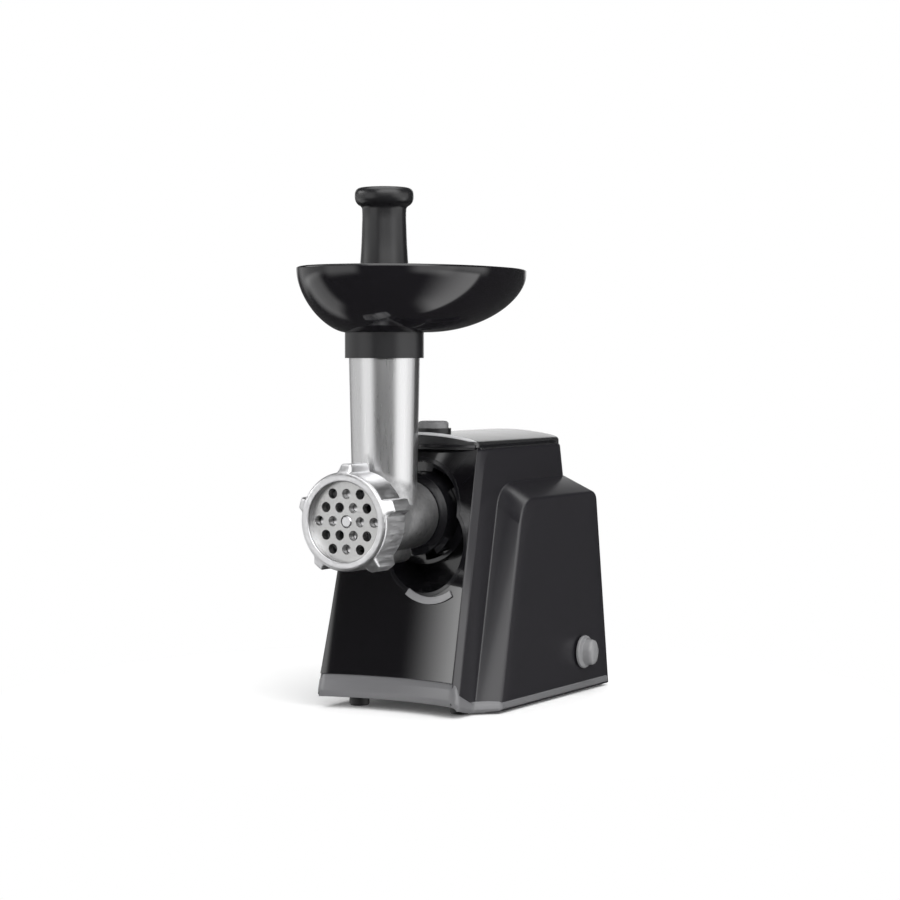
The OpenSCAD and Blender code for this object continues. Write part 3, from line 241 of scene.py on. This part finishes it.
# Colours are linear, heights and edges in metres.
PLASTICS = dict(
    tray_black=dict(colour=(0.006, 0.0055, 0.0068), gloss=0.09, grain=8e-7, grain_scale=900,
                    coat=0.2),
    gloss_black=dict(colour=(0.006, 0.0058, 0.007), gloss=0.12, grain=2e-6, grain_scale=900,
                     coat=0.2),
    panel_black=dict(colour=(0.004, 0.0037, 0.0046), gloss=0.07, grain=5e-7, grain_scale=900,
                     coat=0.6),
    matte_black=dict(colour=(0.010, 0.0098, 0.011), gloss=0.3, grain=8e-6, grain_scale=1500),
    side_satin=dict(colour=(0.0115, 0.0108, 0.0135), gloss=0.3, grain=1.5e-6, grain_scale=1900,
                    edge=0.0012),
    cap_satin=dict(colour=(0.02, 0.02, 0.021), gloss=0.24, grain=1e-7, grain_scale=1900),
    silver_grey=dict(colour=(0.13, 0.13, 0.135), gloss=0.3, grain=1.5e-6, grain_scale=1900,
                     spread=0.05, edge=0.0008),
    silver_edge=dict(colour=(0.2, 0.2, 0.205), gloss=0.25, grain=2e-6, grain_scale=1900,
                     spread=0.04),
    knob_silver=dict(colour=(0.2, 0.2, 0.205), gloss=0.26, grain=4e-6, grain_scale=1900,
                     spread=0.04, edge=0.0006),
    silver_button=dict(colour=(0.21, 0.21, 0.215), gloss=0.2, grain=1e-6, grain_scale=1900,
                       spread=0.04, edge=0.0008),
    # painted highlight: a light grey that stands in for the reflection along the cap's front brow
    brow_painted_highlight=dict(colour=(0.55, 0.55, 0.56), gloss=0.25, grain=1e-7, grain_scale=1900,
                     spread=0.04),
    rubber=dict(colour=(0.012, 0.012, 0.012), gloss=0.5, grain=2e-5, grain_scale=900, edge=0.0008),
    nylon=dict(colour=(0.72, 0.70, 0.62), gloss=0.42, grain=1e-5, grain_scale=1200, spread=0.05),
    yellow_film=dict(colour=(0.55, 0.36, 0.06), gloss=0.3, grain=1e-5, grain_scale=900, spread=0.1),
    lead_brown=dict(colour=(0.2, 0.08, 0.03), gloss=0.45, grain=1e-5, grain_scale=1200, spread=0.1),
)
METALS = dict(
    cast_aluminium=dict(colour=(0.62, 0.62, 0.63), gloss=0.28, stretch=(1, 1, 0.04), scale=1400),
    bright_aluminium=dict(colour=(0.74, 0.74, 0.75), gloss=0.4, stretch=(1, 0.2, 1), scale=500,
                          line_depth=6e-7, spread=0.06, edge=0.0008),
    plate_steel=dict(colour=(0.60, 0.60, 0.595), gloss=0.4, stretch=(1, 1, 1), scale=900,
                     edge=0.0003),
    steel=dict(colour=(0.6, 0.6, 0.61), gloss=0.3, stretch=(1, 0.05, 1), scale=1200),
    dark_metal=dict(colour=(0.10, 0.10, 0.105), gloss=0.4, stretch=(1, 1, 1), scale=500,
                    line_depth=1e-5),
    lamination=dict(colour=(0.33, 0.34, 0.36), gloss=0.45, stretch=(0.02, 1, 0.02), scale=2000,
                    line_depth=4e-5),
    copper=dict(colour=(0.72, 0.33, 0.16), gloss=0.3, stretch=(1, 0.06, 1), scale=2600,
                line_depth=6e-5),
    brass=dict(colour=(0.75, 0.58, 0.27), gloss=0.3, stretch=(1, 1, 1), scale=700),
)
finishes = {name: moulded(name, **looks) for name, looks in PLASTICS.items()}
finishes.update({name: metal(name, **looks) for name, looks in METALS.items()})
finishes["head_metal"] = head_metal("head_metal")
node_finish = {
    "pusher": "matte_black",
    "hopper_tray": "tray_black",
    "tray_collar": "matte_black",
    "head_casting": "head_metal",
    "bayonet_collar": "gloss_black",
    "collar_screws": "steel",
    "screw_bush": "nylon",
    "hole_plate": "plate_steel",
    "ring_nut": "bright_aluminium",
    "feed_screw": "cast_aluminium",
    "cutter": "steel",
    "drive_hub": "dark_metal",
    "output_gear": "nylon",
    "middle_gear": "nylon",
    "first_gear": "nylon",
    "armature_shaft": "steel",
    "armature_core": "lamination",
    "armature_windings": "copper",
    "commutator": "copper",
    "motor_pinion": "brass",
    "cooling_fan": "matte_black",
    "socket_cup": "gloss_black",
    "bayonet_receiver": "gloss_black",
    "socket_trim": "silver_grey",
    "front_panel": "panel_black",
    "left_shell": "side_satin",
    "right_shell": "side_satin",
    "trim_line": "gloss_black",
    "top_cap": "cap_satin",
    "base_band": "silver_grey",
    "base_plate": "matte_black",
    "feet": "rubber",
    "base_screws": "steel",
    "gearbox_case": "dark_metal",
    "gearbox_cover": "dark_metal",
    "gear_axles": "steel",
    "output_bushes": "brass",
    "motor_bearings": "steel",
    "stator": "lamination",
    "stator_coils": "copper",
    "rear_bracket": "dark_metal",
    "motor_bolts": "steel",
    "brush_holders": "brass",
    "brushes": "matte_black",
    "motor_pads": "rubber",
    "rotary_switch": "side_satin",
    "suppressor": "yellow_film",
    "internal_leads": "lead_brown",
    "cord_grommet": "rubber",
    "button_bezel": "matte_black",
    "latch_pivot": "steel",
    "selector_knob": "knob_silver",
    "release_button": "silver_button",
    "button_spring": "steel",
    "latch_lever": "steel",
}
for node_name, node_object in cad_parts.items():
    node_object.data.materials.clear()
    node_object.data.materials.append(finishes[node_finish[node_name]])


# ------------------------------------------------------------ ways of making a surface


def pieced(name, grids, body, finish, stands_for=(), crease=38):
    """A piece from grids of points that each join round in both directions, one quad between each
    four neighbours. Points that fall together are merged, so that a row drawn to one point or line
    closes it."""
    vertices, quads, first = [], [], 0
    for points in grids:
        rows, columns = points.shape[:2]
        index = np.arange(rows * columns).reshape(rows, columns) + first
        below, beside = np.roll(index, -1, 0), np.roll(index, -1, 1)
        across = np.roll(below, -1, 1)
        quads.append(np.stack([index, below, across, beside], -1).reshape(-1, 4))
        vertices.append((points.reshape(-1, 3) - FRAME_ORIGIN) / 1000)
        first += rows * columns
    mesh = bpy.data.meshes.new(name)
    mesh.from_pydata(np.concatenate(vertices).tolist(), [], np.concatenate(quads).tolist())
    work = bmesh.new()
    work.from_mesh(mesh)
    bmesh.ops.remove_doubles(work, verts=work.verts, dist=2e-6)
    bmesh.ops.dissolve_degenerate(work, edges=work.edges, dist=1e-7)
    bmesh.ops.recalc_face_normals(work, faces=work.faces)
    work.to_mesh(mesh)
    work.free()
    mesh.shade_smooth()
    mesh.set_sharp_from_angle(angle=math.radians(crease))
    mesh.materials.append(finishes[finish])
    piece = bpy.data.objects.new(name, mesh)
    bpy.context.scene.collection.objects.link(piece)
    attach(piece, body)
    if stands_for:
        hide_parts(*stands_for)
    return piece


def around(count):
    """That many angles, evenly spread over a full turn."""
    return np.linspace(0, 2 * np.pi, count, endpoint=False)


def lifted(plan, height):
    """Points from a plan of x and y and from their heights."""
    height = np.broadcast_to(np.asarray(height)[..., None], (*plan.shape[:-1], 1))
    return np.concatenate([plan, height], -1)


def ended(sections):
    """A bar's sections, with both ends closed by drawing the last one onto its own middle."""
    ends = [np.broadcast_to(sections[end].mean(0), sections[end].shape) for end in (0, -1)]
    return np.stack([ends[0], *sections, ends[1]])


def bent(start, corner, end, u):
    """The quadratic curve that leaves start towards corner and reaches end from it, at share u."""
    return (1 - u) ** 2 * start + 2 * u * (1 - u) * corner + u ** 2 * end


def softened(corners, reach, count=5):
    """A closed outline whose corners are each a quadratic curve that starts and ends reach from the
    corner."""
    corners = np.asarray(corners, float)
    reach = np.broadcast_to(np.asarray(reach, float), len(corners))[:, None]
    back = np.roll(corners, 1, 0) - corners
    ahead = np.roll(corners, -1, 0) - corners
    start = corners + back / np.linalg.norm(back, axis=1, keepdims=True) * reach
    end = corners + ahead / np.linalg.norm(ahead, axis=1, keepdims=True) * reach
    u = np.linspace(0, 1, count)[None, :, None]
    curve = bent(start[:, None], corners[:, None], end[:, None], u)
    return curve.reshape(-1, corners.shape[1])


def slope(degrees):
    """How far a face that leans by so many degrees moves sideways for each millimetre of height."""
    return math.tan(math.radians(degrees))


def front_at(z):
    """Depth of the front panel's plane at height z: 74.3 at the barrel's axis, leaning back."""
    return 74.3 + (z - AXIS_Z) * slope(FRONT_LEAN)


def rear_at(z):
    """Depth of the back at height z: 227.7 at the foot, leaning forward."""
    return 227.7 - (z - HOUSING_FOOT) * slope(REAR_LEAN)


def right_at(z):
    """Place in x of the right shell's side at height z: 55 at the foot, leaning inwards."""
    return 55 - (z - HOUSING_FOOT) * slope(RIGHT_LEAN)


def left_at(z):
    """Place in x of the left shell's side at height z: as wide as the panel at the band's top."""
    return -PANEL_HALF + (z - BAND_TOP) * slope(LEFT_LEAN)


def panel_at(z):
    """Half width of the front panel: it loses 4.4 mm between the band's top and the shells' top."""
    return PANEL_HALF - 4.4 * (z - BAND_TOP) / (SHELL_TOP - BAND_TOP)


def hollow_at(x):
    """How far the panel lies behind its plane: an arc of 170 mm with a sag of 7.2 mm."""
    arc = np.sqrt(HOLLOW_R ** 2 - np.minimum(abs(x), PANEL_HALF) ** 2)
    return (arc - HOLLOW_CHORD) / math.cos(math.radians(FRONT_LEAN))


def bulge_front_at(z):
    """Depth of the motor bulge's front edge at height z: 74.7 at the foot, leaning back."""
    return 74.7 + (z - HOUSING_FOOT) * slope(BULGE_LEAN)


def bulge_x_at(z, y):
    """Place in x of the bulge's face: it leans inwards by 1 degree and widens by 3 mm to the back."""
    return 68 - (z - HOUSING_FOOT) * slope(1) + 3 * (y - 74.7) / 153


def dome_at(x):
    """Height of the cap's dome: an arc of 195 mm across the machine, highest in its middle."""
    return CROWN_Z - DOME_R + np.sqrt(DOME_R ** 2 - x ** 2)


# ------------------------------------------------------------ grinding head


def tray_point(d, t, inset):
    """The tray's bowl at depth share d and angle t. Its outline is an oval, |x/a|^2.15 + |y/b|^2.15 = 1,
    that grows from the foot's circle by (1 - d^1.75)^0.53, until its half widths are 40 and 68 mm more,
    and moves back by (1 - d^1.9)^0.42 of 37 mm; inset draws it inwards."""
    power = 2.15
    spread = np.maximum(1 - d ** 1.75, 0) ** 0.53
    shift = np.maximum(1 - d ** 1.9, 0) ** 0.42
    oval = (np.abs(np.cos(t)) ** power + np.abs(np.sin(t)) ** power) ** (-1 / power)
    full = 1 + (oval - 1) * spread
    return np.stack([
        (TRAY_FOOT_R + 40 * spread - inset) * np.cos(t) * full,
        TUBE_Y + 37 * shift + (TRAY_FOOT_R + 68 * spread - inset) * np.sin(t) * full,
    ], -1)


def tray():
    """The tray as one wall: out along the underside, over a rolled rim, and back along the inside."""
    t = around(256)[:, None]
    share = 1 - np.linspace(0, 1, 56)[None] ** 2
    inner = share[:, ::-1]
    roll = np.linspace(0, np.pi, 9)[None]
    half = WALL / 2
    shoulder = TRAY_RIM - half
    under = lifted(tray_point(share, t, 0), shoulder - (TRAY_DEPTH - half) * share)
    rim = lifted(tray_point(0 * roll, t, half - half * np.cos(roll)), shoulder + half * np.sin(roll))
    inside = lifted(tray_point(inner, t, WALL), shoulder - (TRAY_DEPTH - half - WALL) * inner)
    pieced("tray_bowl", [np.concatenate([under, rim, inside], 1)], "tray", "tray_black",
           ["hopper_tray"])


def pusher():
    """The pusher, turned about the feed tube's axis: a ram, a waisted grip and a flat round head."""
    profile = softened([
        [0, 145.3], [17.5, 145.3], [17.5, 247.0], [15.6, 279.0], [14.4, 297.0], [13.75, 317.0],
        [14.1, 320.6], [18.6, 323.0], [18.6, 332.4], [9.0, 333.2], [0, 333.2]
    ], [0.01, 0.8, 4, 7, 6, 5, 1.6, 3.9, 4.2, 4, 0.01], 9)[:, None]
    t = around(160)
    points = np.stack([profile[..., 0] * np.cos(t), TUBE_Y + profile[..., 0] * np.sin(t),
                       profile[..., 1] + 0 * t], -1)
    pieced("pusher_grip", [points], "pusher", "matte_black", ["pusher"], 50)


def trim():
    """The silver crescent under the round recess: a flat bar 4.5 mm broad, bent over 68 degrees of an
    arc round the recess's middle, 1 mm proud of the panel."""
    turn = np.radians(np.linspace(-123, -55, 60))[:, None]
    section = softened([[28.5, 0.6], [28.5, -1.0], [33.0, -1.0], [33.0, 0.6]], 0.35, 5)
    x = SOCKET_X + section[:, 0] * np.cos(turn)
    z = SOCKET_Z + section[:, 0] * np.sin(turn)
    points = np.stack([x, front_at(z) + hollow_at(x) + section[:, 1], z], -1)
    pieced("socket_trim_bar", [ended(points)], "housing", "silver_edge",
           ["socket_trim"])


def ring():
    """The ring nut: a rounded section turned round the barrel's axis, whose outer edge swells from 30.8
    to 35.8 mm in five lugs. A lug is full over 4.6 degrees each side of its middle and gone at 11. The
    section's corners are depth, radius and the share of the lugs that they take."""
    full, flank, swell = 4.6, 6.4, 5.0
    pitch = 2 * np.pi / 5
    t = around(720)[:, None]
    section = softened([
        [-4.7, 25.1, 0], [-4.7, 29.4, 0.0], [-3.2, 30.8, 0.05], [-0.4, 30.8, 1], [19.3, 30.8, 1],
        [19.3, 28.9, 0], [0.1, 28.9, 0], [0.1, 25, 0], [-3.5, 25, 0]
    ], [0.9, 1.4, 0.9, 1.2, 0.9, 0.4, 0.04, 0.04, 0.8], 8)[None]
    off = np.abs((t - np.pi / 2 + pitch / 2) % pitch - pitch / 2)
    fall = np.clip((np.degrees(off) - full) / flank, 0, 1)
    lug = 1 - fall ** 2 * (3 - 2 * fall)
    radius = section[..., 1] + swell * lug * np.clip(section[..., 2], 0, 1)
    points = np.stack([radius * np.cos(t), section[..., 0] + 0 * t, AXIS_Z + radius * np.sin(t)], -1)
    pieced("ring_nut_lobed", [points], "ring", "bright_aluminium", ["ring_nut"],
           75)


# ------------------------------------------------------------ housing


def walled(loops):
    """A wall from closed outlines, lowest first, whose second half runs back along the wall's inside.
    Each end is closed by drawing its outline onto its own middle line."""
    ends = [(loops[end] + loops[end][::-1]) / 2 for end in (0, -1)]
    return np.stack([ends[0], *loops, ends[1]])


def rounded_back(past, radius):
    """How far a rounded edge has gone back, so far past the start of its quarter circle."""
    return radius - math.sqrt(max(radius ** 2 - max(past, 0.0) ** 2, 0))


def shell_loop(z, side):
    """A shell's wall at height z, from the front panel's edge round to the back's middle and back
    inside; side is 1 on the right and -1 on the left. A flat strip runs from the panel's edge to the
    side: on the right it is 1.2 mm deep at the foot and 11 at the top, on the left 2 all the way. From
    156.5 mm up it rounds over to the back on a radius of 12."""
    depth = (1.2 + 9.5 * max((z - 17) / 146, 0)) if side > 0 else 2.0
    depth += rounded_back(z - 156.5, 12)
    eased = rounded_back(z - 165.5, EDGE_R)
    edge = side * (panel_at(z) + 0.12)
    face = (right_at(z) if side > 0 else left_at(z)) - side * eased
    back = rear_at(z) - eased
    lip = front_at(z) + 0.25
    if side < 0:
        edge = max(edge, face + 0.7)
    inner = face - side * WALL
    turn = front_at(z) + depth
    seam = 0.05 * side
    corners = [
        [edge, lip, z], [edge + side * 0.25, lip, z], [face, turn, z], [face, back, z], [seam, back, z],
        [seam, back - WALL, z], [inner, back - WALL, z], [inner, turn + 4, z],
        [edge, lip + 11.5, z], [edge, lip + 11, z]
    ]
    return softened(corners, [0.05, 0.1, 1.1, 10, 0.02, 0.02, 7.6, 0.5, 0.05, 0.05], 9)


def bulge():
    """The motor's bulge: a loop round its foot on the side wall and a loop round its side face, joined
    by a bevel, with the edge between bevel and face eased by a quadratic curve. The foot's loop reaches
    11 mm further forward and 13.5 mm higher than the face's, and its top is sunk 8 mm into the shell."""
    foot_top, face_top, sinks_from, ease = 148, 134.5, 122.5, 1.7
    middle_y, middle_z = 150.0, 60.0
    inside = softened([
        [bulge_front_at(HOUSING_FOOT) - 11, HOUSING_FOOT], [bulge_front_at(foot_top) + 2, foot_top],
        [rear_at(foot_top), foot_top], [rear_at(HOUSING_FOOT), HOUSING_FOOT]
    ], [0.5, 19, 5, 0.5], 25)
    outside = softened([
        [bulge_front_at(HOUSING_FOOT), HOUSING_FOOT], [bulge_front_at(face_top), face_top],
        [rear_at(face_top), face_top], [rear_at(HOUSING_FOOT), HOUSING_FOOT]
    ], [0.5, 17, 6, 0.5], 25)
    rise = np.clip((inside[:, 1] - sinks_from) / (foot_top - sinks_from), 0, 1)
    foot = np.stack([right_at(np.minimum(inside[:, 1], face_top)) + 1 - 9 * rise, *inside.T], -1)
    rim = np.stack([bulge_x_at(outside[:, 1], outside[:, 0]), *outside.T], -1)
    heart = np.array([[middle_y, middle_z]])
    face = heart + (outside - heart) * 0.8
    face = np.stack([bulge_x_at(face[:, 1], face[:, 0]), *face.T], -1)
    toward_foot, toward_face = [(other - rim) / np.linalg.norm(other - rim, axis=1, keepdims=True)
                                for other in (foot, face)]
    eased = [bent(rim + ease * toward_foot, rim, rim + ease * toward_face, u)
             for u in np.linspace(0, 1, 7)]
    middle = np.broadcast_to([bulge_x_at(middle_z, middle_y), middle_y, middle_z], rim.shape)
    sunk = foot - [9, 0, 0]
    core = np.broadcast_to([right_at(middle_z) - 8, middle_y, middle_z], rim.shape)
    return np.stack([core, sunk, foot, *eased, face, middle])


def shells():
    """Both shells: leaning walls whose levels lie closer together where their upper edge rounds over,
    and the bulge on the right one."""
    levels = [8.6, 40, 80, 120, 150, 156.5, 158.5, 160.5, 162, 163.5, 165, 165.8, 166.5, 167, 167.4,
              167.7]
    right, left = (walled([shell_loop(z, side) for z in levels]) for side in (1, -1))
    pieced("right_shell_skin", [right, bulge()], "housing", "side_satin",
           ["right_shell"], 30)
    pieced("left_shell_skin", [left], "housing", "side_satin", ["left_shell"], 30)


def knob():
    """The switch knob: a flange and a grip, turned about an axis that leaves the side face. The
    profile's corners are distance from the face and radius. From 3.4 mm out, the grip is an oval,
    0.76 as wide as it is high."""
    profile = softened([
        [0.9, 0], [0.9, 11], [2.9, 11], [3.3, 8.9], [9.6, 8.3], [10.4, 4.0], [10.4, 0]
    ], [0.01, 0.3, 0.7, 0.6, 2.4, 1.5, 0.01], 9)[:, None]
    t = around(96)
    narrow = 1 - 0.24 * np.clip((profile[..., 0] - 2.9) / 0.5, 0, 1)
    points = np.stack([KNOB_PLACE[0] + profile[..., 0] + 0 * t,
                       KNOB_PLACE[1] + profile[..., 1] * narrow * np.cos(t),
                       KNOB_PLACE[2] + profile[..., 1] * np.sin(t)], -1)
    pieced("knob_dial", [points], "selector", "knob_silver", ["selector_knob"], 45)


def footprint(z, grow):
    """The housing's outline at height z, drawn outwards by grow: along the hollow front from left to
    right, back over the bulge's bevel and round the back."""
    x = np.linspace(-46.6, 47.4, 61)
    front = np.stack([x, front_at(z) + hollow_at(x) - grow], -1)
    sides = softened([
        [left_at(z) - grow, front_at(z) - grow],
        [right_at(z) + grow, front_at(z) - grow],
        [right_at(z) + grow + 0.3, bulge_front_at(z) - 13.5],
        [bulge_x_at(z, 74.7) + grow, bulge_front_at(z) - 0.6],
        [bulge_x_at(z, 228) + grow, rear_at(z) + grow],
        [left_at(z) - grow, rear_at(z) + grow],
    ], [2.2, 3.2, 1.6, 1.8, 5, 10], 9)
    return np.concatenate([sides[:9], front, sides[9:]])


def band():
    """The base band: a rounded section carried round the footprint. It stands from 7.3 to 21.7 mm along
    the front and sinks to 1.5 to 8.5 mm over the first 28 mm of the sides, sooner where the right side
    stands out. The section's corners are share of the height, nothing, and depth into the housing."""
    low_z, high_z, grow = 8.0, 22.0, 0.4
    low, high = footprint(low_z, grow), footprint(high_z, grow)
    ahead = np.roll(low, -1, 0) - np.roll(low, 1, 0)
    inward = np.stack([-ahead[:, 1], ahead[:, 0]], -1)
    inward /= np.linalg.norm(inward, axis=1, keepdims=True)
    along_front = abs(low[:, 0]) < 47.5
    sooner = 0.4 * np.clip((low[:, 0] - 49) / 6, 0, 1)
    back = np.clip((low[:, 1] - 44 - 8 * along_front) / 28 + sooner, 0, 1)
    bottom, top = 7.3 - 5.8 * back, BAND_TOP - 13.2 * back
    section = softened([
        [0, 0, 1.4], [0.28, 0, 0], [0.72, 0, 0], [1, 0, 1.1], [1, 0, 1.9], [0, 0, 1.9]
    ], [0.05, 0.12, 0.12, 0.03, 0.03, 0.03], 6)
    height = bottom[:, None] + (top - bottom)[:, None] * section[None, :, 0]
    share = (height - low_z) / (high_z - low_z)
    place = low[:, None] + (high - low)[:, None] * share[..., None]
    place = place + inward[:, None] * section[None, :, 2:]
    pieced("base_band_skin", [lifted(place, height)], "housing", "silver_grey",
           ["base_band"], 40)


def cap():
    """The cap: a closed wall between its outline and the button's hole, under the dome, with its rim
    eased by a quarter circle. Each row of points lies on the arms from the button's axis."""
    hole_r, rim_wall = 11.85, 2.6
    left, right = left_at(CAP_LEVEL) + 0.3, right_at(CAP_LEVEL) - 0.3
    front, back = front_at(CAP_LEVEL) + 0.6, rear_at(CAP_LEVEL) - 0.3
    outline = softened([[left, front], [right, front], [right, back], [left, back]], [3, 5, 10, 10], 15)
    steps = np.linspace(0, 1, 12)[:, None, None]
    outline = (outline * (1 - steps) + np.roll(outline, -1, 0) * steps)[:-1]
    outline = outline.transpose(1, 0, 2).reshape(-1, 2)
    centre = np.array([0, BUTTON_Y])
    arm = outline - centre
    arm = arm / np.linalg.norm(arm, axis=1, keepdims=True)
    rim = outline - arm * EDGE_R
    hole = centre + arm * hole_r
    rows = [lifted(outline, CAP_FOOT)]
    for angle in np.linspace(0, np.pi / 2, 7):
        place = outline - arm * (EDGE_R * (1 - math.cos(angle)))
        rows.append(lifted(place, dome_at(place[:, 0]) - EDGE_R * (1 - math.sin(angle))))
    for share in np.linspace(0.08, 1, 14):
        place = rim + (hole - rim) * share
        rows.append(lifted(place, dome_at(place[:, 0])))
    rows.append(lifted(hole, 172.0))
    rows.append(lifted(outline - arm * rim_wall, CAP_FOOT))
    pieced("top_cap_skin", [np.stack(rows)], "housing", "cap_satin", ["top_cap"], 50)


def brow_highlight_bar():
    """A painted highlight on the cap's front brow: a light grey round bar 2.2 mm thick that stands in
    for the brow's reflection, follows the dome and runs out to a point over the last four of its steps."""
    steps, thick = 60, 1.1
    x = np.linspace(left_at(CAP_LEVEL) + 2.2, right_at(CAP_LEVEL) - 1.6, steps)[:, None]
    t = around(12)[None]
    to_end = np.minimum(np.arange(steps), np.arange(steps)[::-1])
    radius = thick * np.minimum(1, to_end / 4.0)[:, None]
    y = front_at(CAP_LEVEL) + 1.3 + radius * np.cos(t) + 0 * x
    z = dome_at(x) - 0.1 + radius * np.sin(t)
    points = np.stack([x + 0 * t, y, z], -1)
    pieced("cap_brow_painted_highlight", [ended(points)], "housing", "brow_painted_highlight")


def spring():
    """The button's return spring: a wire wound round the button's stem, drawn at rest and fixed to the
    housing; in the machine its top goes down with the button while its foot stays."""
    low, high, coil_r, wire_r, turns = 171.5, 181.55, 5.5, 0.45, 4
    t = np.linspace(0, 2 * np.pi * turns, 24 * turns + 1)[:, None]
    a = around(8)[None]
    radius = coil_r + wire_r * np.cos(a)
    height = low + (high - low) * t / t[-1] + wire_r * np.sin(a)
    points = np.stack([radius * np.cos(t), BUTTON_Y + radius * np.sin(t), height], -1)
    coil = pieced("button_spring_coil", [ended(points)], "housing", "steel",
                  ["button_spring"], 80)
    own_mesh(coil)


tray()
pusher()
ring()
trim()
shells()
knob()
band()
cap()
brow_highlight_bar()
spring()


# ------------------------------------------------------------ studio


def flat_sheet(name, corners, material):
    """A four-cornered sheet of the studio."""
    mesh = bpy.data.meshes.new(name)
    mesh.from_pydata(corners, [], [(0, 1, 2, 3)])
    mesh.materials.append(material)
    sheet = bpy.data.objects.new(name, mesh)
    bpy.context.scene.collection.objects.link(sheet)


def studio_floor():
    """A pale floor that keeps the machine's shadow near it and turns into the white surround between
    165 and 300 mm out. Reflections look through it at the soft cards of the surround."""
    white = (1, 1, 1, 1)
    made = Finish("studio_floor")
    made.shader.inputs["Base Color"].default_value = (0.93, 0.93, 0.93, 1)
    made.shader.inputs["Roughness"].default_value = 0.9
    made.shader.inputs["Specular IOR Level"].default_value = 0.1
    made.shader.inputs["Emission Color"].default_value = white
    rays = made.node("LightPath").outputs
    glow = made.between(rays["Is Camera Ray"], 0, 0.04, 0, 1)
    made.join(glow, made.shader.inputs["Emission Strength"])
    away = made.node("VectorMath", operation="LENGTH")
    made.join(made.place, away.inputs[0])
    far = made.between(away.outputs["Value"], 0, 1, 0.165, 0.3)
    surround = made.node("Emission", Color=white, Strength=1.0)
    direct = made.worked_out("MULTIPLY", rays["Is Camera Ray"], far)
    clear = made.node("BsdfTransparent")
    shown = made.shader.outputs[0]
    for share, other in ((direct, surround), (rays["Is Glossy Ray"], clear)):
        mixed = made.node("MixShader")
        made.join(share, mixed.inputs[0])
        made.join(shown, mixed.inputs[1])
        made.join(other.outputs[0], mixed.inputs[2])
        shown = mixed.outputs[0]
    made.join(shown, made.tree.nodes["Material Output"].inputs["Surface"])
    flat_sheet("studio_floor", [(-6, -6, 0), (6, -6, 0), (6, 6, 0), (-6, 6, 0)], made.material)


DIM_LEVEL = 0.06        # strength of the surround between the cards

# Soft cards round the machine: the range of their turn, the range of their rise, their strength, and
# whether they are behind the machine. Ranges are start, full, full and end, in degrees. Turn is counted
# to the right from straight in front, or from straight behind for those behind; rise from the horizon.
CARDS = {
    "front_card": ((-56, -40, -14, 2), (-26, -12, 9, 14), 1.2, False),
    "left_fill": ((-125, -105, -56, -40), (-20, -10, 3, 7), 0.6, False),
    "side_card": ((58, 78, 98, 114), (-22, -10, 8, 14), 1.3, False),
    "side_fill": ((98, 110, 134, 143), (-14, -3, 8, 14), 1.1, False),
    "panel_card": ((-100, -82, -72, -35), (6, 10, 22, 24), 3.4, False),
    "edge_card": ((-3, 0, 4, 12), (15, 19, 30, 36), 2.2, False),
    "corner_card": ((0, 14, 80, 108), (6, 14, 44, 60), 3.2, False),
    "low_right_card": ((80, 126, 132, 135), (-66, -50, -12, -7), 1.9, False),
    "low_left_card": ((-112, -94, -72, -56), (-58, -46, -14, -8), 0.95, False),
    "rear_card": ((-62, -40, -14, -2), (-4, 1, 13, 21), 1.5, True),
    "overhead_card": ((-190, -185, 185, 190), (44, 66, 95, 100), 2.3, False),
}


def studio_world():
    """A surround that is white to the camera. The machine sees a dim one with soft cards in it."""
    world = bpy.data.worlds.new("studio")
    bpy.context.scene.world = world
    world.use_nodes = True
    tree = world.node_tree

    def node(kind, sources, **settings):
        """The first output of a node whose inputs are outputs of others or plain numbers."""
        made = tree.nodes.new("ShaderNode" + kind)
        for key, value in settings.items():
            setattr(made, key, value)
        for socket, source in zip(made.inputs, sources):
            if isinstance(source, (int, float)):
                socket.default_value = source
            else:
                tree.links.new(source, socket)
        return made.outputs[0]

    def number(operation, *sources):
        """The result of an operation on numbers."""
        return node("Math", sources, operation=operation)

    place = tree.nodes.new("ShaderNodeTexCoord").outputs["Generated"]
    split = tree.nodes.new("ShaderNodeSeparateXYZ")
    tree.links.new(place, split.inputs[0])
    across, along, up = split.outputs
    rise = number("DEGREES", number("ARCSINE", up))
    turns = {
        False: number("DEGREES", number("ARCTAN2", across, number("MULTIPLY", along, -1))),
        True: number("DEGREES", number("ARCTAN2", across, along)),
    }
    total = DIM_LEVEL
    for turn_range, rise_range, level, behind in CARDS.values():
        share = level
        for angle, (start, full, still, end) in ((turns[behind], turn_range), (rise, rise_range)):
            opens, closes = (node("MapRange", (angle, *limits), interpolation_type="SMOOTHSTEP")
                             for limits in ((start, full, 0.0, 1.0), (still, end, 1.0, 0.0)))
            share = number("MULTIPLY", share, number("MULTIPLY", opens, closes))
        total = number("ADD", total, share)
    seen = tree.nodes.new("ShaderNodeLightPath").outputs["Is Camera Ray"]
    strength = number("MAXIMUM", number("MULTIPLY", total, number("SUBTRACT", 1.0, seen)), seen)
    surround = tree.nodes["Background"]
    surround.inputs["Color"].default_value = (1, 1, 1, 1)
    tree.links.new(strength, surround.inputs["Strength"])


studio_floor()
studio_world()

looks_down, turned_left = 2.323, 29.40      # degrees
camera = bpy.data.objects.new("camera", bpy.data.cameras.new("camera"))
camera.data.sensor_width = 36
camera.data.lens = 92.064
camera.location = (0.74385, -1.31233, 0.22631)
camera.rotation_euler = Euler((math.radians(90 - looks_down), 0, math.radians(turned_left)))
camera.data.clip_start, camera.data.clip_end = 0.05, 50
bpy.context.scene.collection.objects.link(camera)
bpy.context.scene.camera = camera
bpy.context.scene.view_settings.view_transform = "Standard"
